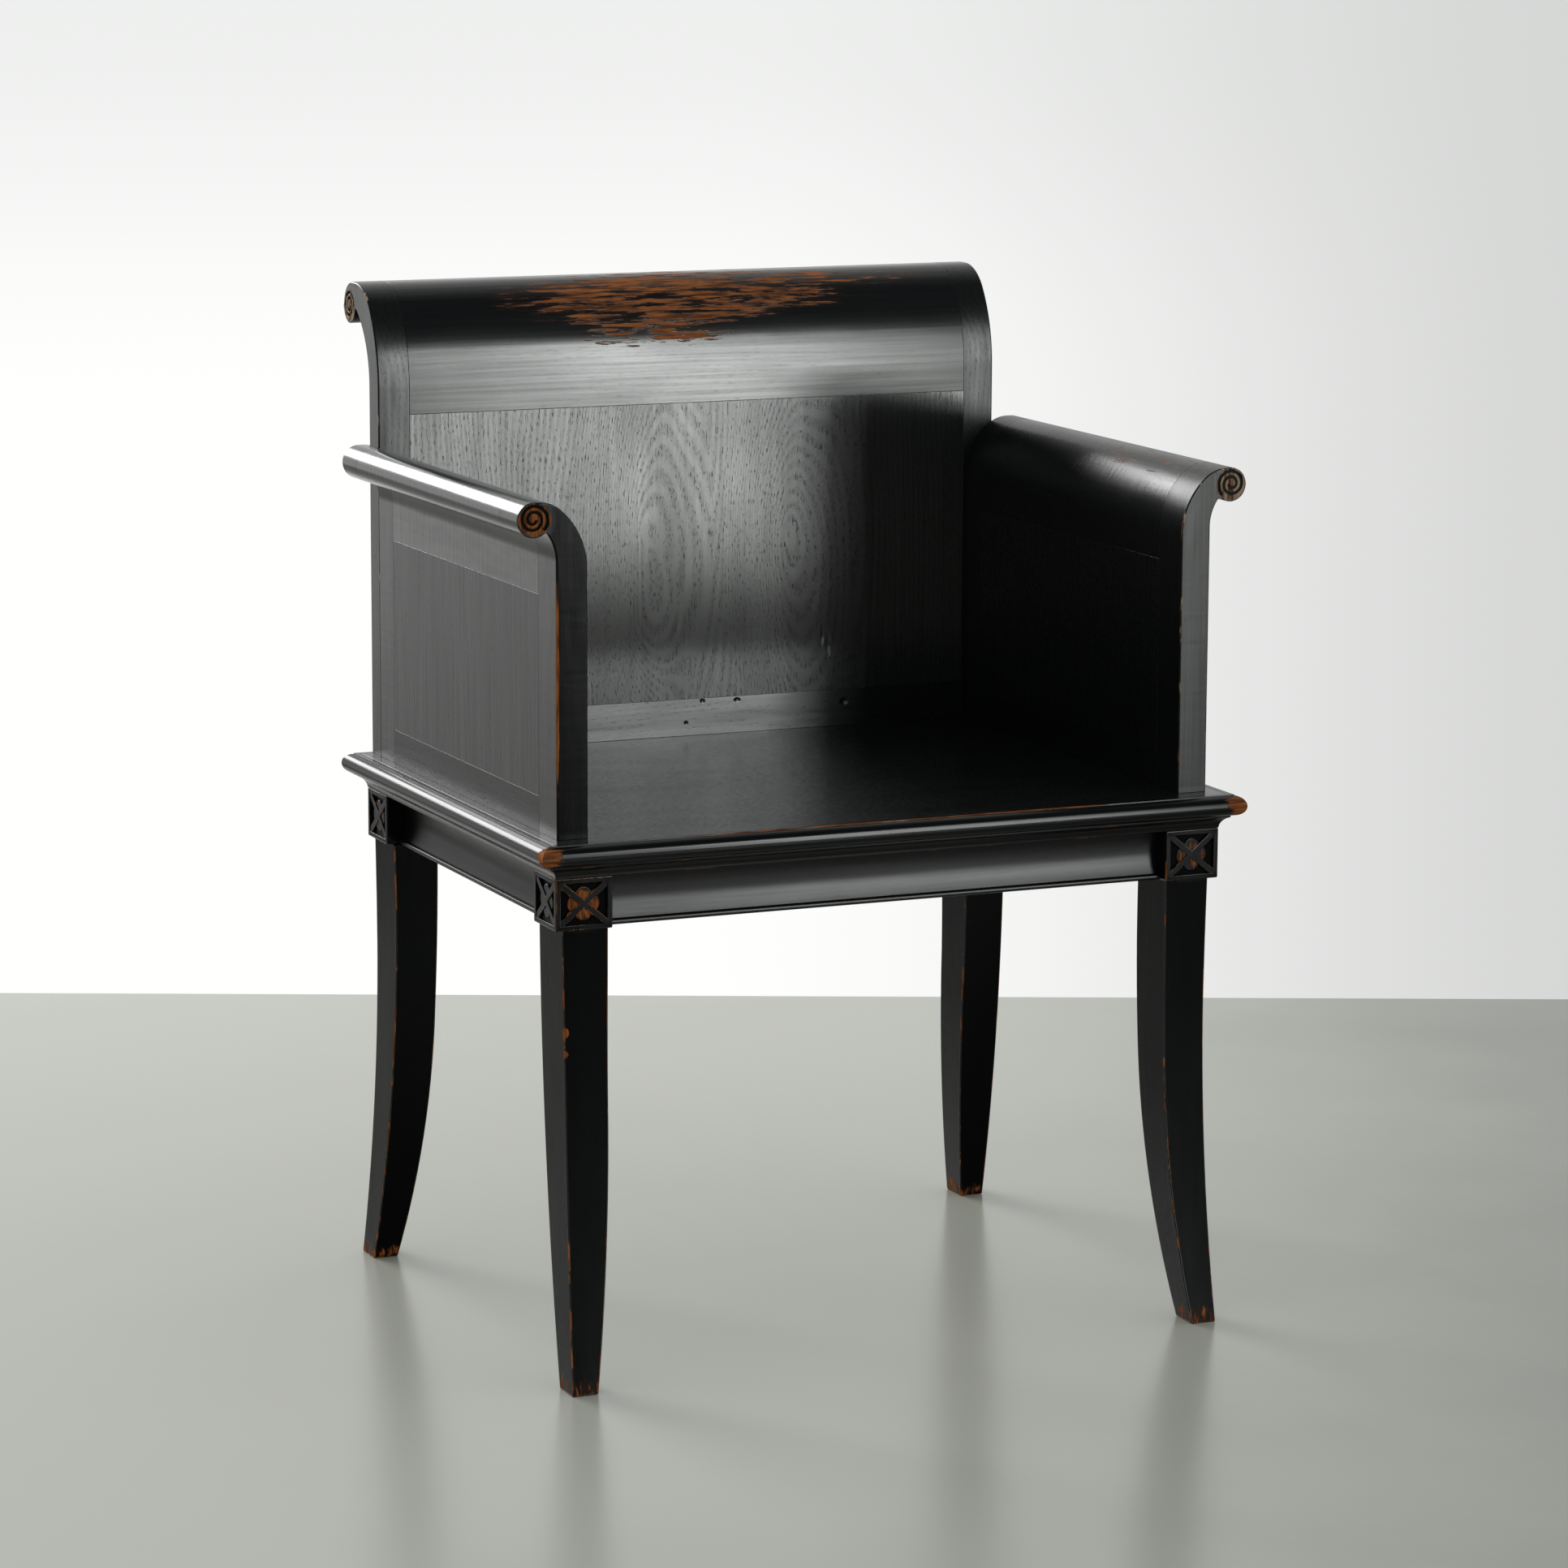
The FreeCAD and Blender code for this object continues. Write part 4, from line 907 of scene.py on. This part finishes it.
class ARMCHAIR_OT_arms(bpy.types.Operator):
    """Panelled arms with rolled tops and carved spirals"""
    bl_idname = "armchair.arms"
    bl_label = "Arms"

    def execute(self, context):
        finish, arris = finish_settings()
        for side in SIDES:
            self.make_arm(side, finish, arris)
        return {"FINISHED"}

    def stile_coat(self, side, look):
        """Finish of an arm's two stiles: worn spirals and front edge, polished roll, duller left front."""
        roll_x, roll_z = arm_roll(side)
        front_low, front_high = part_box(f"arm_{side}_front_stile")
        rear_low, rear_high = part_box(f"arm_{side}_rear_stile")
        panel_low, panel_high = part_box(f"arm_{side}_panel")
        outer_x = panel_low.x if side == "left" else panel_high.x
        worn = [Place((roll_x, y, roll_z), (SPIRAL_REACH, SPIRAL_RIDGE, SPIRAL_REACH), SPIRAL_WEAR)
                for y in (front_low.y, rear_high.y)]
        worn.append(Place((outer_x, front_low.y, ARM_EDGE_HEIGHT), ARM_EDGE_REACH, look.edge_wear))
        middles = ((front_low.y + front_high.y) / 2, (rear_low.y + rear_high.y) / 2)
        polish = tuple(Place((roll_x, y, roll_z), ARM_POLISH_REACH, look.roll_polish) for y in middles)
        matt = ()
        if look.front_dulling:
            matt = (Place((roll_x, front_low.y, SEAT_TOP), ARM_FRONT_REACH, look.front_dulling),)
        return Coat("Z", figure=0.25, streaks=0.25, gloss=look.stile_gloss, sheen=look.stile_sheen, waves=1.4,
                    chatter=0.05 * MM, arris_wear=look.arris_wear, worn=(*worn, *look.rubbed), polish=polish,
                    matt=matt, pale=look.pale)

    def make_arm(self, side, finish, arris):
        """One arm: two stiles, then the rails and the panel between them."""
        look = ARM_LOOKS[side]
        front_low, front_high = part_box(f"arm_{side}_front_stile")
        rear_low, rear_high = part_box(f"arm_{side}_rear_stile")
        levels = (SEAT_TOP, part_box(f"arm_{side}_scroll_rail")[0].z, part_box(f"arm_{side}_bottom_rail")[1].z)
        carved = near_axis((X, Z), arm_roll(side), ARM_ROLL_RADIUS + ROLL_TOLERANCE)
        spiral = near_axis((X, Z), arm_roll(side), ARM_ROLL_RADIUS - SPIRAL_MARGIN)
        seams = any_of(*(on_plane(Y, y) for y in (front_high.y, rear_low.y, rear_high.y)),
                       *(on_plane(Z, z) for z in levels))
        stile_easings, seam_easings = framed_easings(seams, carved, arris)
        sunk = spiral_ground(spiral, Y, front_low.y, rear_high.y)
        material = lacquer_material(f"arm_{side}_stile_lacquer", self.stile_coat(side, look), finish)
        for end in ENDS:
            eased_copy(f"arm_{side}_{end}_stile", material, stile_easings, sunk)
        rail = Coat("Y", figure=0.2, streaks=0.2, gloss=look.rail_gloss, sheen=look.rail_sheen, waves=1.8,
                    chatter=0.13 * MM, worn=look.rubbed)
        panel = Coat("Z", figure=0.5, streaks=0.7, ribs=0.01 * MM, gloss=0.27, waves=0.6)
        bottom = Coat("Y", figure=0.2, streaks=0.3, gloss=0.27, sheen=0.27, waves=0.8)
        for part, name, coat in (("scroll_rail", "rail", rail), ("panel", "panel", panel),
                                 ("bottom_rail", "bottom", bottom)):
            material = lacquer_material(f"arm_{side}_{name}_lacquer", coat, finish)
            eased_copy(f"arm_{side}_{part}", material, seam_easings)


class ARMCHAIR_OT_back(bpy.types.Operator):
    """Panelled back with a rolled top rail and carved spirals"""
    bl_idname = "armchair.back"
    bl_label = "Back"

    def execute(self, context):
        finish, arris = finish_settings()
        rail_low, rail_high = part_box("back_scroll_rail")
        bottom_low, bottom_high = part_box("back_bottom_rail")
        left_low, left_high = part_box("back_left_stile")
        right_low, right_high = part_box("back_right_stile")
        roll = (rail_high.y - BACK_ROLL_RADIUS, rail_high.z - BACK_ROLL_TOP_RADIUS)
        carved = near_axis((Y, Z), roll, BACK_ROLL_RADIUS + ROLL_TOLERANCE)
        spiral = near_axis((Y, Z), roll, BACK_ROLL_RADIUS - SPIRAL_MARGIN)
        seams = any_of(*(on_plane(X, x) for x in (left_high.x, right_low.x)),
                       *(on_plane(Z, z) for z in (SEAT_TOP, rail_low.z, bottom_high.z)))
        stile_easings, seam_easings = framed_easings(seams, carved, arris)
        sunk = spiral_ground(spiral, X, left_low.x, right_high.x)
        worn = tuple(Place((x, *roll), (SPIRAL_RIDGE, SPIRAL_REACH, SPIRAL_REACH), SPIRAL_WEAR)
                     for x in (left_low.x, right_high.x))
        upright = Coat("Z", figure=0.6, streaks=0.3, gloss=0.26, waves=1.6, arris_wear=0.34, worn=worn,
                       pale=True)
        material = lacquer_material("back_stile_lacquer", upright, finish)
        for side in SIDES:
            eased_copy(f"back_{side}_stile", material, stile_easings, sunk)
        scroll = Coat("X", figure=0.25, streaks=0.35, gloss=0.2, waves=0.7, worn=SCROLL_PATCH)
        bottom = Coat("X", figure=0.35, streaks=0.4, gloss=0.24, sheen=0.56, waves=0.7,
                      dents=on_face(bottom_low.y, RAIL_KNOTS), lean=BOTTOM_RAIL_LEAN)
        rear = Place((0.0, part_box("back_panel")[1].y, PANEL_MIDDLE), PANEL_REAR_REACH, PANEL_REAR_DULLING)
        panel = Coat("Z", figure=1.0, streaks=0.25, ribs=0.012 * MM, gloss=0.23, sheen=0.82, brushed=1.0,
                     film_index=1.6, waves=0.3, flames=on_face(bottom_low.y, PANEL_FLAMES),
                     dents=on_face(bottom_low.y, PANEL_BRUISES), matt=(rear,))
        for part, name, coat in (("scroll_rail", "scroll", scroll), ("bottom_rail", "bottom", bottom),
                                 ("panel", "panel", panel)):
            eased_copy(f"back_{part}", lacquer_material(f"back_{name}_lacquer", coat, finish), seam_easings)
        return {"FINISHED"}


class ARMCHAIR_OT_joinery(bpy.types.Operator):
    """Bare wood for the battens, pegs and pins"""
    bl_idname = "armchair.joinery"
    bl_label = "Battens, pegs and pins"

    def execute(self, context):
        material = bare_material("bare_wood_grain", finish_settings()[0])
        for node in BARE_NODES:
            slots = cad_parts[node].data.materials
            slots.clear()
            slots.append(material)
        return {"FINISHED"}


class ARMCHAIR_OT_stage(bpy.types.Operator):
    """Camera, polished floor, window light and white wall"""
    bl_idname = "armchair.stage"
    bl_label = "Stage"

    def execute(self, context):
        stage = context.scene.armchair_stage
        azimuth = stage.camera_azimuth
        self.right = Vector((math.cos(azimuth), math.sin(azimuth), 0.0))
        self.ahead = Vector((-math.sin(azimuth), math.cos(azimuth), 0.0))
        self.make_camera(context, stage)
        self.make_floor(context, stage)
        self.make_lamps(context, stage)
        self.make_world(context)
        context.scene.view_settings.view_transform = "Standard"
        return {"FINISHED"}

    def make_camera(self, context, stage):
        """Camera at its place, turned to the chair and then about its own axis."""
        elevation, roll = stage.camera_elevation, stage.camera_roll
        back = -math.cos(elevation) * self.ahead + Vector((0.0, 0.0, math.sin(elevation)))
        up = back.cross(self.right)
        across = math.cos(roll) * self.right + math.sin(roll) * up
        upward = math.cos(roll) * up - math.sin(roll) * self.right
        turn = Matrix((across, upward, back)).transposed().to_4x4()
        lens = bpy.data.cameras.new("camera")
        lens.lens = stage.camera_lens
        lens.sensor_width = SENSOR_WIDTH
        lens.clip_end = SIGHT_LIMIT
        camera = bpy.data.objects.new("camera", lens)
        camera.matrix_world = Matrix.Translation(stage.camera_position) @ turn
        context.scene.collection.objects.link(camera)
        context.scene.camera = camera

    def floor_material(self, stage):
        """Clouded polish with painted shade that darkens it to the right, and that shines only round the chair
        and behind it.
        """
        material, tree, shader, coords = new_material("polished_floor")
        cloud = noise(tree, stretch(tree, coords, FLOOR_CLOUDS), detail=5.0, roughness=0.6)
        # Painted shade: the floor colour darkens to the right, its edge swayed by the clouds
        across = calc(tree, "MULTIPLY_ADD", cloud, FLOOR_CLOUD_SWAY, dot_with(tree, coords, self.right))
        dull = tuple(FLOOR_PAINTED_SHADE * channel for channel in stage.floor_color)
        color = blend_color(tree, soft_step(tree, across, FLOOR_PAINTED_SHADE_EDGE), stage.floor_color, dull)
        rough = calc(tree, "MULTIPLY_ADD", cloud, FLOOR_CLOUD_ROUGHNESS, FLOOR_ROUGHNESS)
        shine = soft_step(tree, dot_with(tree, coords, self.ahead), FLOOR_SHINE_EDGE, 0.0, FLOOR_SHINE)
        tree.links.new(color, shader.inputs["Base Color"])
        tree.links.new(rough, shader.inputs["Roughness"])
        tree.links.new(shine, shader.inputs["Specular IOR Level"])
        return material

    def make_floor(self, context, stage):
        """Floor that ends behind the chair, square to the view."""
        bm = bmesh.new()
        bmesh.ops.create_grid(bm, x_segments=1, y_segments=1, size=stage.floor_reach)
        bmesh.ops.translate(bm, verts=bm.verts, vec=(0.0, stage.floor_back - stage.floor_reach, 0.0))
        bmesh.ops.rotate(bm, verts=bm.verts, matrix=Matrix.Rotation(stage.camera_azimuth, 3, "Z"))
        mesh = bpy.data.meshes.new("floor")
        bm.to_mesh(mesh)
        bm.free()
        mesh.materials.append(self.floor_material(stage))
        floor = bpy.data.objects.new("floor", mesh)
        context.scene.collection.objects.link(floor)

    def make_lamps(self, context, stage):
        """Curtained window in front, with a clear gap between its curtains, and light back from the wall."""
        chair = (CAD_BOX[0] + CAD_BOX[1]) / 2
        place = Vector(stage.window_position)
        target = Vector((chair.x, chair.y, place.z))
        gap = place + PANE_LEAD * (target - place).normalized()
        for name, spot, width, power in (("curtains", place, stage.curtain_width, stage.curtain_power),
                                         ("pane", gap, stage.pane_width, stage.pane_power)):
            lamp = self.add_lamp(context, name, spot, target, width, stage.window_height, power)
            lamp.visible_diffuse = False
            lamp.data.color = WINDOW_TINT
        self.add_lamp(context, "wall_wash", WASH_POSITION, chair, WASH_WIDTH, WASH_HEIGHT, stage.wash_power)

    def add_lamp(self, context, name, place, target, width, height, power):
        """Flat sheet of light at a place, turned to a target and itself unseen."""
        data = bpy.data.lights.new(name, "AREA")
        data.shape = "RECTANGLE"
        data.size = width
        data.size_y = height
        data.energy = power
        lamp = bpy.data.objects.new(name, data)
        lamp.location = place
        lamp.rotation_euler = (target - place).to_track_quat("-Z", "Y").to_euler()
        lamp.visible_camera = False
        context.scene.collection.objects.link(lamp)
        return lamp

    def make_world(self, context):
        """White wall behind, greyer to the right, and a dimmer room in front; even light for the rest."""
        world = bpy.data.worlds.new("studio")
        context.scene.world = world
        world.use_nodes = True
        tree = world.node_tree
        seen = tree.nodes["Background"]
        direction = tree.nodes.new("ShaderNodeTexCoord").outputs["Generated"]
        ahead = dot_with(tree, direction, self.ahead)
        right = dot_with(tree, direction, self.right)
        rise = dot_with(tree, direction, (0.0, 0.0, 1.0))
        wall = blend_color(tree, soft_step(tree, rise, WALL_RISE), WALL_LOW, WALL_HIGH)
        wall = blend_color(tree, soft_step(tree, right, WALL_RIGHT_EDGE), wall, WALL_RIGHT)
        side = blend_color(tree, soft_step(tree, rise, SIDE_RISE), SIDE_LOW, WALL_LOW)
        wall = blend_color(tree, soft_step(tree, right, SIDE_EDGE), side, wall)
        room = blend_color(tree, soft_step(tree, rise, CEILING_RISE), ROOM, CEILING)
        color = blend_color(tree, soft_step(tree, ahead, AHEAD_EDGE), room, wall)
        tree.links.new(color, seen.inputs["Color"])
        lit = tree.nodes.new("ShaderNodeBackground")
        lit.inputs["Color"].default_value = FILL_COLOR
        lit.inputs["Strength"].default_value = FILL_STRENGTH
        path = tree.nodes.new("ShaderNodeLightPath")
        direct = calc(tree, "MAXIMUM", path.outputs["Is Camera Ray"], path.outputs["Is Glossy Ray"])
        direct = calc(tree, "MAXIMUM", direct, path.outputs["Is Transmission Ray"])
        mix = tree.nodes.new("ShaderNodeMixShader")
        tree.links.new(direct, mix.inputs["Fac"])
        tree.links.new(lit.outputs["Background"], mix.inputs[1])
        tree.links.new(seen.outputs["Background"], mix.inputs[2])
        tree.links.new(mix.outputs["Shader"], tree.nodes["World Output"].inputs["Surface"])


OPERATORS = (ARMCHAIR_OT_legs, ARMCHAIR_OT_seat_rails, ARMCHAIR_OT_seat, ARMCHAIR_OT_arms, ARMCHAIR_OT_back,
             ARMCHAIR_OT_joinery, ARMCHAIR_OT_stage)


class ARMCHAIR_PT_sidebar(bpy.types.Panel):
    """Sizes, colours and steps of the armchair"""
    bl_idname = "ARMCHAIR_PT_sidebar"
    bl_label = "Scroll-back Armchair"
    bl_space_type = "VIEW_3D"
    bl_region_type = "UI"
    bl_category = "Armchair"

    def draw(self, context):
        scene = context.scene
        for settings in (scene.armchair_lacquer, scene.armchair_arris, scene.armchair_stage):
            column = self.layout.column()
            for name in settings.bl_rna.properties.keys():
                if name not in ("rna_type", "name"):
                    column.prop(settings, name)
        for operator in OPERATORS:
            self.layout.operator(operator.bl_idname)


CLASSES = (LacquerSettings, ArrisSettings, StageSettings, *OPERATORS, ARMCHAIR_PT_sidebar)


def register():
    """Make the settings, steps and sidebar known."""
    for cls in CLASSES:
        bpy.utils.register_class(cls)
    bpy.types.Scene.armchair_lacquer = PointerProperty(type=LacquerSettings)
    bpy.types.Scene.armchair_arris = PointerProperty(type=ArrisSettings)
    bpy.types.Scene.armchair_stage = PointerProperty(type=StageSettings)


def unregister():
    """Take the settings, steps and sidebar away again."""
    del bpy.types.Scene.armchair_stage
    del bpy.types.Scene.armchair_arris
    del bpy.types.Scene.armchair_lacquer
    for cls in reversed(CLASSES):
        bpy.utils.unregister_class(cls)


def main():
    """Dress the chair and set the stage."""
    register()
    bpy.ops.armchair.legs()
    bpy.ops.armchair.seat_rails()
    bpy.ops.armchair.seat()
    bpy.ops.armchair.arms()
    bpy.ops.armchair.back()
    bpy.ops.armchair.joinery()
    bpy.ops.armchair.stage()


if __name__ == "__main__":
    main()
